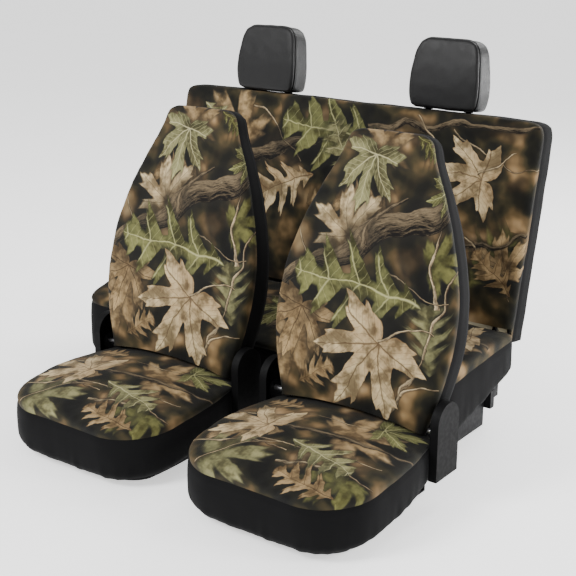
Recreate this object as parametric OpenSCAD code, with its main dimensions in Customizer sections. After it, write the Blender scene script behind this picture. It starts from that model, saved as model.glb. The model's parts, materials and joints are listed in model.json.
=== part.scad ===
/* [Set layout] */
// Distance between the centre planes of the two front seats
front_pitch = 700; // [680:5:760]
// Sideways place of the rear bench, from the middle of the front pair
rear_shift = -180; // [-220:5:0]
// Distance from the front of the front cushions to the front of the bench
bench_y = 640; // [610:5:700]

/* [Front cushions] */
// Width of a front cushion cover, at its widest
cushion_w = 600; // [590:2:604]
// Depth of a front cushion cover, front to back
cushion_d = 510; // [500:5:515]
// Corner radius at the front of a front cushion
cushion_corner = 150; // [110:5:155]
// Height of the top seam above the floor, at the front
seam_front_z = 150; // [140:5:160]
// Height of the top seam above the floor, at the back
seam_rear_z = 188; // [180:2:192]
// Height of the elastic hem above the floor, at the front
hem_front_z = 18; // [14:1:24]
// Height of the elastic hem above the floor, at the back
hem_rear_z = 72; // [66:1:80]
// Rise of the seat surface above its seam, in the middle of a front cushion
crown = 62; // [56:1:64]

/* [Front backrests] */
// Lean of a front backrest from vertical
front_lean = 14; // [12:0.5:15]
// Length of a front backrest cover, along the backrest
front_back_h = 808; // [790:2:820]
// Largest half width of a front backrest cover
front_back_half_w = 300; // [290:2:302]

/* [Rear bench] */
// Width of the bench cushion cover
bench_w = 1470; // [1400:10:1500]
// Depth of the bench cushion cover
bench_d = 480; // [460:5:490]
// Height of the bench top seam above the floor, at the front
bench_seam_front_z = 258; // [250:2:266]
// Height of the bench top seam above the floor, at the back
bench_seam_rear_z = 292; // [286:2:300]
// Height of the bench hem above the floor, at the front
bench_hem_front_z = 60; // [50:2:70]
// Height of the bench hem above the floor, at the back
bench_hem_rear_z = 190; // [180:2:196]
// Lean of the bench backrest from vertical
bench_lean = 9; // [8:0.5:10]
// Length of the bench backrest cover, along the backrest
bench_back_h = 676; // [650:2:690]

/* [Headrests] */
// Width of a headrest
headrest_w = 256; // [240:2:270]
// Height of a headrest
headrest_h = 224; // [210:2:236]
// Depth of a headrest, front to back
headrest_d = 104; // [90:2:116]
// Distance between the two headrests, centre to centre
headrest_pitch = 730; // [700:5:760]

/* [Fabric and hardware] */
// Thickness of the quilted cover fabric
skin = 3; // [2.5:0.1:3.5]
// Radius of the holes in the seat pans
bolt_hole_r = 5.25; // [4.25:0.25:6.25]
// Spacing of the front pan holes, side to side
front_bolt_x = 300; // [280:5:320]
// Spacing of the front pan holes, front to back
front_bolt_y = 260; // [240:5:280]
// Spacing of the bench pan holes, side to side
bench_bolt_x = 1000; // [900:10:1100]
// Spacing of the bench pan holes, front to back
bench_bolt_y = 240; // [220:5:260]

/* [Hidden] */
$fn = 64;

left = -1;
right = 1;
print_colour = "#6d6146";
cloth_colour = "#1c1c1d";
leather_colour = "#202022";
steel_colour = "#8b8e91";
black_steel_colour = "#2b2b2d";
foam_colour = "#d9cfa6";

gap = 0.3;                    // air between foam and cover, and between neighbours
far = 3000;                   // longer than the whole set, for cutting blocks
sheet = 2.5;                  // thickness of the pressed seat pans

// Front seat pivot, from the seat's own centre plane and front face
pivot_y = 492;
pivot_z = 212;
pin_r = 8;
pin_play = 0.05;
arm_in = 220;                 // inner face of the moving recliner plates
arm_t = 4;
bracket_in = 286;             // inner face of the fixed recliner brackets
bracket_t = 5;
shield_in = 282.5;            // inboard edge of the plastic recliner shields
shield_out = 308;
shield_r = 58;                // rounded top of a shield
shield_y = 500;
shield_z = 249;
shield_low = 86;
shield_wall = 2.5;
side_bow_r = 1170;            // bow of a front cushion's sides
side_bow_y = 230;             // where a front cushion is widest
rear_corner = 40;
pan_inset = 62;               // pan walls, in from the cushion outline
pan_h = 66;

// Bench pivot, from the bench centre plane and the front of the front cushions
bench_pivot_y = bench_y + bench_d + 26;
bench_pivot_z = 298;
bench_arm_in = 640;
bench_bracket_in = 648;
bench_pan_inset = 70;
bench_corner = 70;
bench_pan_h = 180;
bench_crown = 45;             // rise of the bench surface above its seam

// Half widths up a backrest, as fractions of its length and of its largest half width
front_outline = [[-0.04, 0.79], [0.02, 0.85], [0.08, 0.895], [0.16, 0.945], [0.25, 0.985], [0.35, 1],
                 [0.45, 0.98], [0.6, 0.88], [0.78, 0.685], [0.93, 0.49], [1, 0.41]];
bench_outline = [[-0.04, 0.966], [0.3, 0.980], [0.7, 0.993], [1, 1]];
bench_half_w = 735;

// The frame of the set: the origin is under the middle of its box
x_low = min(rear_shift - bench_half_w, -front_pitch / 2 - shield_out);
x_high = max(rear_shift + bench_half_w, front_pitch / 2 + shield_out);
post_n = 24;                  // middle of the headrest posts, through the bench back
headrest_shift = -12;         // middle of a headrest's depth, from its posts
headrest_low = bench_back_h + 8;
headrest_top_r = 26;          // rounding of a headrest's upper edges
headrest_top = [post_n + headrest_shift + headrest_d / 2 - 30, headrest_low + headrest_h - 34];
y_high = bench_pivot_y + headrest_top[0] * cos(bench_lean) + headrest_top[1] * sin(bench_lean)
         + headrest_top_r;
set_mid = [(x_low + x_high) / 2, y_high / 2, 0];

// Faces of the backrests across their thickness, at a fraction t of the length
function front_face_n(t) = -32 - 19 * sin(90 * min(1, t / 0.25)) + 14 * ease(max(0, t - 0.45) / 0.55);
function rear_face_n(t) = 68 - 28 * t * t;
function bench_face_n(t) = -36 - 6 * sin(180 * t);
function bench_rear_n(t) = 82 - 10 * t;

// A smooth run through the points of a list, at a fraction t of its first column
function lerp(a, b, f) = a + (b - a) * f;
function ease(f) = f * f * (3 - 2 * f);
function slope_at(list, i) =
    i <= 0 ? (list[1][1] - list[0][1]) / (list[1][0] - list[0][0]) :
    i >= len(list) - 1 ? (list[i][1] - list[i - 1][1]) / (list[i][0] - list[i - 1][0]) :
    (list[i + 1][1] - list[i - 1][1]) / (list[i + 1][0] - list[i - 1][0]);
function span_of(list, t, i = 0) = i >= len(list) - 2 || t <= list[i + 1][0] ? i : span_of(list, t, i + 1);
function smooth(list, t) =
    let (i = span_of(list, t), w = list[i + 1][0] - list[i][0], f = (t - list[i][0]) / w)
    (2 * f * f * f - 3 * f * f + 1) * list[i][1] + (f * f * f - 2 * f * f + f) * w * slope_at(list, i)
    + (3 * f * f - 2 * f * f * f) * list[i + 1][1] + (f * f * f - f * f) * w * slope_at(list, i + 1);

// ---- Placing -------------------------------------------------------------

module front_seat(side) {
    translate([side * front_pitch / 2, 0, 0] - set_mid) children();
}

module bench() {
    translate([rear_shift, 0, 0] - set_mid) children();
}

// Backrest frame: X across, Y through the thickness to the rear, Z up the back
module on_front_back() {
    translate([0, pivot_y, pivot_z]) rotate([-front_lean, 0, 0]) children();
}

module on_bench_back() {
    translate([0, bench_pivot_y, bench_pivot_z]) rotate([-bench_lean, 0, 0]) children();
}

module both_sides() {
    children();
    mirror([1, 0, 0]) children();
}

// ---- Shared shapes -------------------------------------------------------

// Plan of a cushion, with its front edge on the X axis; inset moves every edge in
module cushion_plan(w, d, front_r, rear_r, inset) {
    hw = w / 2 - inset;
    fr = max(front_r - inset, 2);
    rr = max(rear_r - inset, 2);
    translate([-hw, inset + fr]) square([2 * hw, d - 2 * inset - fr - rr]);
    translate([-hw + fr, inset]) square([2 * (hw - fr), fr]);
    translate([-hw + rr, d - inset - rr]) square([2 * (hw - rr), rr]);
    for (s = [-1, 1]) {
        translate([s * (hw - fr), inset + fr]) circle(fr);
        translate([s * (hw - rr), d - inset - rr]) circle(rr);
    }
}

// Everything above a plane that runs from z_front at y = 0 to z_rear at y = d
module above(z_front, z_rear, d) {
    translate([-far / 2, 0, z_front]) rotate([atan2(z_rear - z_front, d), 0, 0])
        translate([0, -far / 2, 0]) cube([far, far, far]);
}

module below(z_front, z_rear, d) {
    translate([-far / 2, 0, z_front]) rotate([atan2(z_rear - z_front, d), 0, 0])
        translate([0, -far / 2, -far]) cube([far, far, far]);
}

// A tall block on the cushion plan
module cushion_block(w, d, front_r, rear_r, inset) {
    translate([0, 0, -50]) linear_extrude(600) cushion_plan(w, d, front_r, rear_r, inset);
}

// The dome that the top of a front cushion follows; drop lowers it
module front_dome(drop) {
    dome_r = 1200;
    dome_forward = 40;
    tilt = atan2(seam_rear_z - seam_front_z, cushion_d);
    translate([0, cushion_d / 2, (seam_front_z + seam_rear_z) / 2]) rotate([tilt, 0, 0])
        translate([0, -dome_forward, crown - dome_r]) sphere(dome_r - drop, $fn = 200);
}

// The barrel that the top of the bench follows, across its whole width
module bench_barrel(drop) {
    barrel_r = 900;
    tilt = atan2(bench_seam_rear_z - bench_seam_front_z, bench_d);
    translate([0, bench_d / 2, (bench_seam_front_z + bench_seam_rear_z) / 2]) rotate([tilt, 0, 0])
        translate([-far / 2, 0, bench_crown - barrel_r]) rotate([0, 90, 0]) cylinder(h = far, r = barrel_r - drop, $fn = 200);
}

// Front view of a backrest: half widths from a list, with rounded top corners
module back_outline(list, h, half_w, corner, inset, steps) {
    side = [for (i = [0 : steps]) let (t = lerp(list[0][0], 1 - corner / h, i / steps))
            [half_w * smooth(list, t) - inset, t * h]];
    corner_x = half_w * smooth(list, 1 - corner / h) - inset;
    arc = [for (a = [15 : 15 : 90]) [corner_x - (corner - inset) * (1 - cos(a)),
           h - corner + (corner - inset) * sin(a)]];
    half = concat(side, arc);
    polygon(concat(half, [for (q = reversed(half)) [-q[0], q[1]]]));
}

// Front view of a backrest as a solid, standing in the backrest frame
module back_slab(list, h, half_w, corner, inset, steps) {
    translate([0, 200, 0]) rotate([90, 0, 0]) linear_extrude(400)
        back_outline(list, h, half_w, corner, inset, steps);
}

// Side view of one face of a backrest, as points from below its low end to above its top
face_steps = 18;
face_from = -0.1;             // lowest point of a face, as a fraction of the backrest's length
face_to = 1.05;

function face_points(kind, offset, h) =
    [for (i = [0 : face_steps]) let (u = lerp(face_from, face_to, i / face_steps), t = min(1, max(0, u)))
        [(kind == "front" ? front_face_n(t) : kind == "rear" ? rear_face_n(t) :
          kind == "bench front" ? bench_face_n(t) : bench_rear_n(t)) + offset, u * h]];

function reversed(list) = [for (i = [len(list) - 1 : -1 : 0]) list[i]];

// A band through a backrest's thickness, between two of its faces and above its low end
module side_band(from_points, to_points, low) intersection() {
    translate([-far / 2, 0, 0]) rotate([90, 0, 90]) linear_extrude(far)
        polygon(concat(from_points, reversed(to_points)));
    translate([-far / 2, -far / 2, low]) cube([far, far, far]);
}

// ---- Front cushion -------------------------------------------------------

// Plan of a front cushion: the sides bow out and narrow towards the backrest
module side_bow(inset) {
    translate([side_bow_r - cushion_w / 2, side_bow_y]) circle(side_bow_r - inset, $fn = 400);
}

module front_plan(inset) intersection() {
    cushion_plan(cushion_w, cushion_d, cushion_corner, rear_corner, inset);
    side_bow(inset);
    mirror([1, 0]) side_bow(inset);
}

module front_plan_block(inset) {
    translate([0, 0, -50]) linear_extrude(600) front_plan(inset);
}

module front_pan_wall(grow) {
    difference() {
        linear_extrude(pan_h + grow) front_plan(pan_inset - grow);
        translate([0, 0, -1]) linear_extrude(pan_h + 10)
            front_plan(pan_inset + sheet + grow);
    }
}

module front_bolt_places() {
    for (sx = [-1, 1], sy = [-1, 1])
        translate([sx * front_bolt_x / 2, cushion_d / 2 + sy * front_bolt_y / 2, 0]) children();
}

module front_seat_pan() color(black_steel_colour) {
    difference() {
        union() {
            linear_extrude(sheet) front_plan(pan_inset);
            front_pan_wall(0);
        }
        front_bolt_places() translate([0, 0, -1]) cylinder(h = sheet + 2, r = bolt_hole_r);
    }
}

module front_cushion_foam() color(foam_colour) {
    difference() {
        union() {
            intersection() {
                front_plan_block(skin + gap);
                above(hem_front_z + 8, hem_rear_z + 8, cushion_d);
                front_dome(skin + gap);
            }
            translate([0, 0, sheet + gap]) linear_extrude(90)
                front_plan(pan_inset + sheet + gap);
        }
        translate([0, 0, -0.001]) front_pan_wall(gap);
        front_bolt_places() translate([0, 0, -1]) cylinder(h = 46, r = 13);
        front_strap_path(2 * gap);
    }
}

module front_cushion_top_panel() color(print_colour) {
    difference() {
        intersection() {
            front_plan_block(0);
            above(seam_front_z, seam_rear_z, cushion_d);
            front_dome(0);
        }
        intersection() {
            front_plan_block(skin);
            front_dome(skin);
        }
    }
}

module front_cushion_skirt() color(cloth_colour) {
    difference() {
        intersection() {
            front_plan_block(0);
            below(seam_front_z, seam_rear_z, cushion_d);
            above(hem_front_z, hem_rear_z, cushion_d);
        }
        front_plan_block(skin);
    }
}

// Casing with elastic, turned in under the cushion
module front_cushion_hem_elastic() color(cloth_colour) {
    difference() {
        intersection() {
            front_plan_block(skin);
            above(hem_front_z, hem_rear_z, cushion_d);
            below(hem_front_z + 7, hem_rear_z + 7, cushion_d);
        }
        front_plan_block(skin + 14);
    }
}

strap_w = 25;
strap_t = 2;
strap_x = 120;                // places of the two lengthwise straps, either side of the middle

module front_strap_path(grow) {
    // Each strap runs under the foam, over the hem plane, ahead of and behind the pan
    for (s = [-1, 1]) translate([s * strap_x - strap_w / 2 - grow, 0, 0]) {
        intersection() {
            translate([0, skin + 14 + gap, 0]) cube([strap_w + 2 * grow, pan_inset - skin - 14 - 2 * gap, 400]);
            above(hem_front_z + 1, hem_rear_z + 1, cushion_d);
            below(hem_front_z + 1 + strap_t, hem_rear_z + 1 + strap_t, cushion_d);
        }
        intersection() {
            translate([0, cushion_d - pan_inset + gap, 0])
                cube([strap_w + 2 * grow, pan_inset - skin - 14 - 2 * gap, 400]);
            above(hem_front_z + 1, hem_rear_z + 1, cushion_d);
            below(hem_front_z + 1 + strap_t, hem_rear_z + 1 + strap_t, cushion_d);
        }
    }
}

// Webbing straps under the cushion, each hooked to the pan wall
module front_underside_straps() color(cloth_colour) front_strap_path(0);

// ---- Front recliner ------------------------------------------------------

bracket_back = cushion_d + 4; // the brackets pass behind the cushion here
bracket_foot_x = 190;         // inboard edge of the feet on the pan

// Side view of the fixed plate beside the pivot
module bracket_profile() {
    translate([pivot_y, pivot_z]) circle(24);
    translate([pivot_y - 24, 100]) square([bracket_back + bracket_t - pivot_y + 24, pivot_z - 100]);
}

module side_plate(x_in, t) {
    translate([x_in, 0, 0]) rotate([90, 0, 90]) linear_extrude(t) children();
}

module front_recliner_brackets() color(black_steel_colour) both_sides() {
    difference() {
        union() {
            side_plate(bracket_in, bracket_t) bracket_profile();
            translate([bracket_foot_x, bracket_back, 100])
                cube([bracket_in + bracket_t - bracket_foot_x, bracket_t, 50]);
            translate([bracket_foot_x, bracket_back, 10]) cube([40, bracket_t, 140]);
            translate([bracket_foot_x, cushion_d - pan_inset + gap, 10])
                cube([40, bracket_back + bracket_t - cushion_d + pan_inset - gap, bracket_t]);
            translate([bracket_foot_x, cushion_d - pan_inset + gap, 10]) cube([40, bracket_t, 48]);
        }
        translate([bracket_in - 1, pivot_y, pivot_z]) rotate([0, 90, 0])
            cylinder(h = bracket_t + 2, r = pin_r + pin_play);
    }
}

// Shouldered pins with a head at each end
module front_pivot_pins() color(steel_colour) both_sides() {
    translate([0, pivot_y, pivot_z]) rotate([0, 90, 0]) {
        translate([0, 0, arm_in - gap - 3]) cylinder(h = 3, r = 12);
        translate([0, 0, arm_in - gap]) cylinder(h = bracket_in + bracket_t + 2 * gap - arm_in, r = pin_r);
        translate([0, 0, bracket_in + bracket_t + gap]) cylinder(h = 3, r = 12);
    }
}

module shield_profile(inset) {
    r = shield_r - inset;
    translate([shield_y, shield_z]) circle(r);
    translate([shield_y - r, shield_low + inset]) square([2 * r, shield_z - shield_low - inset]);
}

// Plastic shields over the recliner plates, open on the cushion's side
module front_recliner_covers() color(cloth_colour) both_sides() {
    difference() {
        side_plate(shield_in, shield_out - shield_in) shield_profile(0);
        side_plate(shield_in - 1, shield_out - shield_in - shield_wall + 1) shield_profile(shield_wall);
    }
    // Stand-off that rests on the bracket
    translate([bracket_in + bracket_t + gap, shield_y, 160]) rotate([0, 90, 0])
        cylinder(h = shield_out - shield_wall - bracket_in - bracket_t, r = 6);
}

// ---- Front backrest ------------------------------------------------------

tube_r = 11;
leg_x = 211;
leg_top = 500;
shoulder_r = 90;
head_x = 70;
head_top = 724;
head_r = 40;
frame_n = 14;                 // middle of the frame tubes, through the thickness

module tube_between(a, b, r) {
    d = b - a;
    translate(a) rotate([0, acos(d[2] / norm(d)), atan2(d[1], d[0])]) cylinder(h = norm(d), r = r);
}

// A quarter bend in the backrest plane, from upright to crosswise
module tube_corner(x, z, bend, r) {
    translate([x - bend, frame_n, z - bend]) rotate([90, 0, 0])
        rotate_extrude(angle = 90) translate([bend, 0]) circle(r);
}

module frame_tubes(grow) {
    both_sides() {
        tube_between([leg_x, frame_n, 40], [leg_x, frame_n, leg_top - shoulder_r], tube_r + grow);
        tube_corner(leg_x, leg_top, shoulder_r, tube_r + grow);
        tube_between([head_x, frame_n, leg_top], [head_x, frame_n, head_top - head_r], 8 + grow);
        tube_corner(head_x, head_top, head_r, 8 + grow);
    }
    top_half = leg_x - shoulder_r;
    tube_between([-top_half, frame_n, leg_top], [top_half, frame_n, leg_top], tube_r + grow);
    tube_between([head_r - head_x, frame_n, head_top], [head_x - head_r, frame_n, head_top], 8 + grow);
    for (z = [130, 320]) tube_between([-leg_x, frame_n, z], [leg_x, frame_n, z], 7 + grow);
}

// Side view of a moving recliner plate, in the backrest frame
module arm_profile(grow) {
    circle(14 + grow);
    translate([-14 - grow, 0]) square([frame_n + 28 + 2 * grow, 130 + grow]);
}

module frame_arms(grow) {
    both_sides() side_plate(arm_in - grow, arm_t + 2 * grow) arm_profile(grow);
}

module front_back_frame() color(black_steel_colour) on_front_back() difference() {
    union() {
        frame_tubes(0);
        frame_arms(0);
    }
    translate([-far / 2, 0, 0]) rotate([0, 90, 0]) cylinder(h = far, r = pin_r + pin_play);
}

low_front = -24;              // lower end of the backrest cover, from the pivot
cushion_air = 9;              // air left over a cushion for the backrest to turn
slot_r = 13;                  // slots of the backrest cover for the pivot pins

// The room that a front cushion keeps free of its backrest
module front_cushion_room(grow) intersection() {
    front_plan_block(-cushion_air - grow);
    front_dome(-cushion_air - grow);
}

module front_pin_slots() on_front_back() both_sides()
    translate([arm_in - 6, 0, 0]) rotate([0, 90, 0]) cylinder(h = 60, r = slot_r);

// The space inside the front backrest cover, less inset all round
module front_back_body(inset, low) intersection() {
    back_slab(front_outline, front_back_h, front_back_half_w, 52, inset, 18);
    side_band(face_points("front", inset, front_back_h), face_points("rear", -inset, front_back_h), low);
}

module front_back_foam() color(foam_colour) difference() {
    on_front_back() difference() {
        front_back_body(skin + gap, low_front + 8);
        frame_tubes(gap);
        frame_arms(gap);
        both_sides() translate([arm_in - 6, 0, 0]) rotate([0, 90, 0]) cylinder(h = 60, r = 34);
    }
    front_cushion_room(skin);
}

module front_back_cover(from_kind, from_offset, to_kind, to_offset) difference() {
    on_front_back() difference() {
        intersection() {
            front_back_body(0, low_front);
            side_band(face_points(from_kind, from_offset, front_back_h),
                      face_points(to_kind, to_offset, front_back_h), low_front);
        }
        front_back_body(skin, low_front - 30);
    }
    front_cushion_room(0);
    front_pin_slots();
}

seam_in = 30;                 // the printed panel wraps this far round the edge
rear_seam_in = 10;            // the rear panel wraps this far round the edge

module front_back_front_panel() color(print_colour) front_back_cover("front", -1, "front", seam_in);

module front_back_side_gusset() color(cloth_colour) front_back_cover("front", seam_in, "rear", -rear_seam_in);

module front_back_rear_panel() color(cloth_colour) front_back_cover("rear", -rear_seam_in, "rear", 1);

// Elastic casing round the open lower end, inside the cover
module front_back_hem_elastic() color(cloth_colour) difference() {
    on_front_back() difference() {
        intersection() {
            front_back_body(skin, low_front);
            translate([-far / 2, -200, low_front]) cube([far, 400, 7]);
        }
        front_back_body(skin + 8, low_front - 30);
    }
    front_cushion_room(0);
}

// Three webbing tabs sewn inside the rear hem, hanging behind the cushion
module front_anchor_straps() color(cloth_colour) on_front_back()
    for (x = [-110, 0, 110]) translate([x - 15, rear_face_n(0) - skin - 8 - gap - strap_t, low_front - 48])
        cube([30, strap_t, 55]);

// ---- Rear bench cushion --------------------------------------------------

module on_bench_seat() {
    translate([0, bench_y, 0]) children();
}

module bench_plan_block(inset) {
    cushion_block(bench_w, bench_d, bench_corner, rear_corner, inset);
}

module bench_pan_wall(grow) {
    difference() {
        linear_extrude(bench_pan_h + grow) cushion_plan(bench_w, bench_d, bench_corner, rear_corner, bench_pan_inset - grow);
        translate([0, 0, -1]) linear_extrude(bench_pan_h + 10)
            cushion_plan(bench_w, bench_d, bench_corner, rear_corner, bench_pan_inset + sheet + grow);
    }
}

module bench_bolt_places() {
    for (sx = [-1, 1], sy = [-1, 1])
        translate([sx * bench_bolt_x / 2, bench_d / 2 + sy * bench_bolt_y / 2, 0]) children();
}

module bench_seat_pan() color(black_steel_colour) bench() on_bench_seat() {
    difference() {
        union() {
            linear_extrude(sheet) cushion_plan(bench_w, bench_d, bench_corner, rear_corner, bench_pan_inset);
            bench_pan_wall(0);
        }
        bench_bolt_places() translate([0, 0, -1]) cylinder(h = sheet + 2, r = bolt_hole_r);
    }
}

module bench_cushion_foam() color(foam_colour) bench() on_bench_seat() {
    difference() {
        union() {
            intersection() {
                bench_plan_block(skin + gap);
                above(bench_hem_front_z + 8, bench_hem_rear_z + 8, bench_d);
                bench_barrel(skin + gap);
            }
            translate([0, 0, sheet + gap]) linear_extrude(200)
                cushion_plan(bench_w, bench_d, bench_corner, rear_corner, bench_pan_inset + sheet + gap);
        }
        translate([0, 0, -0.001]) bench_pan_wall(gap);
        bench_bolt_places() translate([0, 0, -1]) cylinder(h = 46, r = 13);
        bench_strap_path(2 * gap);
    }
}

module bench_cushion_top_panel() color(print_colour) bench() on_bench_seat() difference() {
    intersection() {
        bench_plan_block(0);
        above(bench_seam_front_z, bench_seam_rear_z, bench_d);
        bench_barrel(0);
    }
    intersection() {
        bench_plan_block(skin);
        bench_barrel(skin);
    }
}

module bench_cushion_skirt() color(cloth_colour) bench() on_bench_seat() difference() {
    intersection() {
        bench_plan_block(0);
        below(bench_seam_front_z, bench_seam_rear_z, bench_d);
        above(bench_hem_front_z, bench_hem_rear_z, bench_d);
    }
    bench_plan_block(skin);
}

module bench_cushion_hem_elastic() color(cloth_colour) bench() on_bench_seat() difference() {
    intersection() {
        bench_plan_block(skin);
        above(bench_hem_front_z, bench_hem_rear_z, bench_d);
        below(bench_hem_front_z + 7, bench_hem_rear_z + 7, bench_d);
    }
    bench_plan_block(skin + 14);
}

module bench_strap_path(grow) {
    for (x = [-480, -160, 160, 480]) translate([x - strap_w / 2 - grow, 0, 0])
        for (y = [skin + 14 + gap, bench_d - bench_pan_inset + gap])
            intersection() {
                translate([0, y, 0]) cube([strap_w + 2 * grow, bench_pan_inset - skin - 14 - 2 * gap, 400]);
                above(bench_hem_front_z + 1, bench_hem_rear_z + 1, bench_d);
                below(bench_hem_front_z + 1 + strap_t, bench_hem_rear_z + 1 + strap_t, bench_d);
            }
}

module bench_underside_straps() color(cloth_colour) bench() on_bench_seat() bench_strap_path(0);

// ---- Rear bench hinge and backrest ---------------------------------------

// Side view of a bench bracket: from under the cushion to the pivot behind it
module bench_bracket_profile() {
    translate([bench_pivot_y, bench_pivot_z]) circle(24);
    translate([bench_pivot_y - 24, 60]) square([48, bench_pivot_z - 60]);
    translate([bench_y + bench_d - 50, 60])
        square([50 + bench_pivot_y - bench_y - bench_d, 60]);
}

module bench_hinge_brackets() color(black_steel_colour) bench() both_sides() difference() {
    union() {
        side_plate(bench_bracket_in, bracket_t) bench_bracket_profile();
        translate([bench_bracket_in, bench_y + bench_d - bench_pan_inset + gap, 60])
            cube([40, 24, 60]);
    }
    translate([bench_bracket_in - 1, bench_pivot_y, bench_pivot_z]) rotate([0, 90, 0])
        cylinder(h = bracket_t + 2, r = pin_r + pin_play);
}

module bench_hinge_pins() color(steel_colour) bench() both_sides()
    translate([0, bench_pivot_y, bench_pivot_z]) rotate([0, 90, 0]) {
        translate([0, 0, bench_arm_in - gap - 3]) cylinder(h = 3, r = 12);
        translate([0, 0, bench_arm_in - gap])
            cylinder(h = bench_bracket_in + bracket_t + 2 * gap - bench_arm_in, r = pin_r);
        translate([0, 0, bench_bracket_in + bracket_t + gap]) cylinder(h = 3, r = 12);
    }

bench_leg_x = 630;
bench_leg_top = 560;
post_x = 75;                  // headrest posts, either side of the headrest's middle
post_r = 6;
sleeve_r = 10;

module bench_tube_corner(x, z, bend, r) {
    translate([x - bend, post_n, z - bend]) rotate([90, 0, 0])
        rotate_extrude(angle = 90) translate([bend, 0]) circle(r);
}

module bench_frame_tubes(grow) {
    both_sides() {
        tube_between([bench_leg_x, post_n, 40], [bench_leg_x, post_n, bench_leg_top - 60], tube_r + grow);
        bench_tube_corner(bench_leg_x, bench_leg_top, 60, tube_r + grow);
    }
    tube_between([60 - bench_leg_x, post_n, bench_leg_top], [bench_leg_x - 60, post_n, bench_leg_top], tube_r + grow);
    for (z = [130, 340]) tube_between([-bench_leg_x, post_n, z], [bench_leg_x, post_n, z], 8 + grow);
}

module bench_frame_arms(grow) {
    both_sides() side_plate(bench_arm_in - grow, arm_t + 2 * grow) {
        circle(18 + grow);
        translate([-14 - grow, 0]) square([28 + post_n + 2 * grow, 130 + grow]);
    }
}

module headrest_places() {
    for (s = [-1, 1]) translate([s * headrest_pitch / 2, post_n, 0]) children();
}

module post_places() {
    headrest_places() for (s = [-1, 1]) translate([s * post_x, 0, 0]) children();
}

module bench_back_frame() color(black_steel_colour) bench() on_bench_back() difference() {
    union() {
        bench_frame_tubes(0);
        bench_frame_arms(0);
        post_places() translate([0, 0, bench_leg_top - 24]) cylinder(h = 48, r = sleeve_r + 4);
    }
    post_places() translate([0, 0, bench_leg_top - 40]) cylinder(h = 80, r = sleeve_r + pin_play);
    translate([-far / 2, 0, 0]) rotate([0, 90, 0]) cylinder(h = far, r = pin_r + pin_play);
}

low_bench = -14;              // lower end of the bench backrest cover, from the pivot
foam_low_bench = 26;

// The room that the bench cushion keeps free of its backrest
module bench_cushion_room() bench() on_bench_seat() intersection() {
    bench_plan_block(-cushion_air);
    bench_barrel(-cushion_air);
}

module bench_back_body(inset, low) intersection() {
    back_slab(bench_outline, bench_back_h, bench_half_w, 46, inset, 6);
    side_band(face_points("bench front", inset, bench_back_h),
              face_points("bench rear", -inset, bench_back_h), low);
}

module bench_back_foam() color(foam_colour) bench() on_bench_back() difference() {
    bench_back_body(skin + gap, foam_low_bench);
    bench_frame_tubes(gap);
    bench_frame_arms(gap);
    both_sides() translate([bench_arm_in - 8, 0, 0]) rotate([0, 90, 0]) cylinder(h = 34, r = 40);
    post_places() translate([0, 0, bench_leg_top - 160]) cylinder(h = 400, r = sleeve_r + 4 + gap);
}

module bench_back_cover(from_kind, from_offset, to_kind, to_offset) difference() {
    bench() on_bench_back() difference() {
        intersection() {
            bench_back_body(0, low_bench);
            side_band(face_points(from_kind, from_offset, bench_back_h),
                      face_points(to_kind, to_offset, bench_back_h), low_bench);
        }
        bench_back_body(skin, low_bench - 30);
        post_places() translate([0, 0, bench_back_h - 40]) cylinder(h = 80, r = sleeve_r + 4);
    }
    bench_cushion_room();
}

module bench_back_front_panel() color(print_colour) bench_back_cover("bench front", -1, "bench front", seam_in);

module bench_back_side_gusset() color(cloth_colour)
    bench_back_cover("bench front", seam_in, "bench rear", -rear_seam_in);

module bench_back_rear_panel() color(cloth_colour) bench_back_cover("bench rear", -rear_seam_in, "bench rear", 1);

module bench_back_hem_elastic() color(cloth_colour) difference() {
    bench() on_bench_back() difference() {
        intersection() {
            bench_back_body(skin, low_bench);
            translate([-far / 2, -200, low_bench]) cube([far, 400, 7]);
        }
        bench_back_body(skin + 9, low_bench - 30);
    }
    bench_cushion_room();
}

// Plastic guides that the headrest posts slide in, each with a collar on the cover
sleeve_low = 500;
post_play = 0.06;

module bench_guide_sleeves() color(cloth_colour) bench() on_bench_back() post_places() difference() {
    union() {
        translate([0, 0, sleeve_low]) cylinder(h = bench_back_h - sleeve_low + gap, r = sleeve_r);
        translate([0, 0, bench_back_h + gap]) cylinder(h = 4, r = 15);
    }
    translate([0, 0, sleeve_low - 1]) cylinder(h = 300, r = post_r + post_play);
}

// ---- Headrests -----------------------------------------------------------

module on_headrest(side) {
    bench() on_bench_back() translate([side * headrest_pitch / 2, post_n, 0]) children();
}

// Front view of a headrest: sides that lean in and generous corners
module headrest_outline(inset) {
    top_r = 50;
    r_top = top_r - inset;
    r_low = 30 - inset;
    top_x = headrest_w / 2 - 14 - top_r;
    low_x = headrest_w / 2 - 30;
    hull() for (s = [-1, 1]) {
        translate([s * top_x, headrest_h - top_r]) circle(r_top);
        translate([s * low_x, 30 + 40]) circle(r_low);
        translate([s * (low_x - 10), 30]) circle(r_low);
    }
}

// Side view of a headrest: a flat back and a face that bows forward
module headrest_side(inset) {
    half = headrest_d / 2;
    hull() {
        translate([-half + 26, headrest_h - 34]) circle(headrest_top_r - inset);
        translate([half - 30, headrest_h - 34]) circle(headrest_top_r - inset);
        translate([-half + 34, 40]) circle(34 - inset);
        translate([half - 34, 34]) circle(30 - inset);
    }
}

module headrest_body(inset) intersection() {
    translate([0, 100, headrest_low]) rotate([90, 0, 0]) linear_extrude(200) headrest_outline(inset);
    translate([-200, headrest_shift, headrest_low]) rotate([90, 0, 90]) linear_extrude(400) headrest_side(inset);
}

module headrest_post_pair(r, low, high) {
    for (s = [-1, 1]) translate([s * post_x, 0, low]) cylinder(h = high - low, r = r);
}

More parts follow.
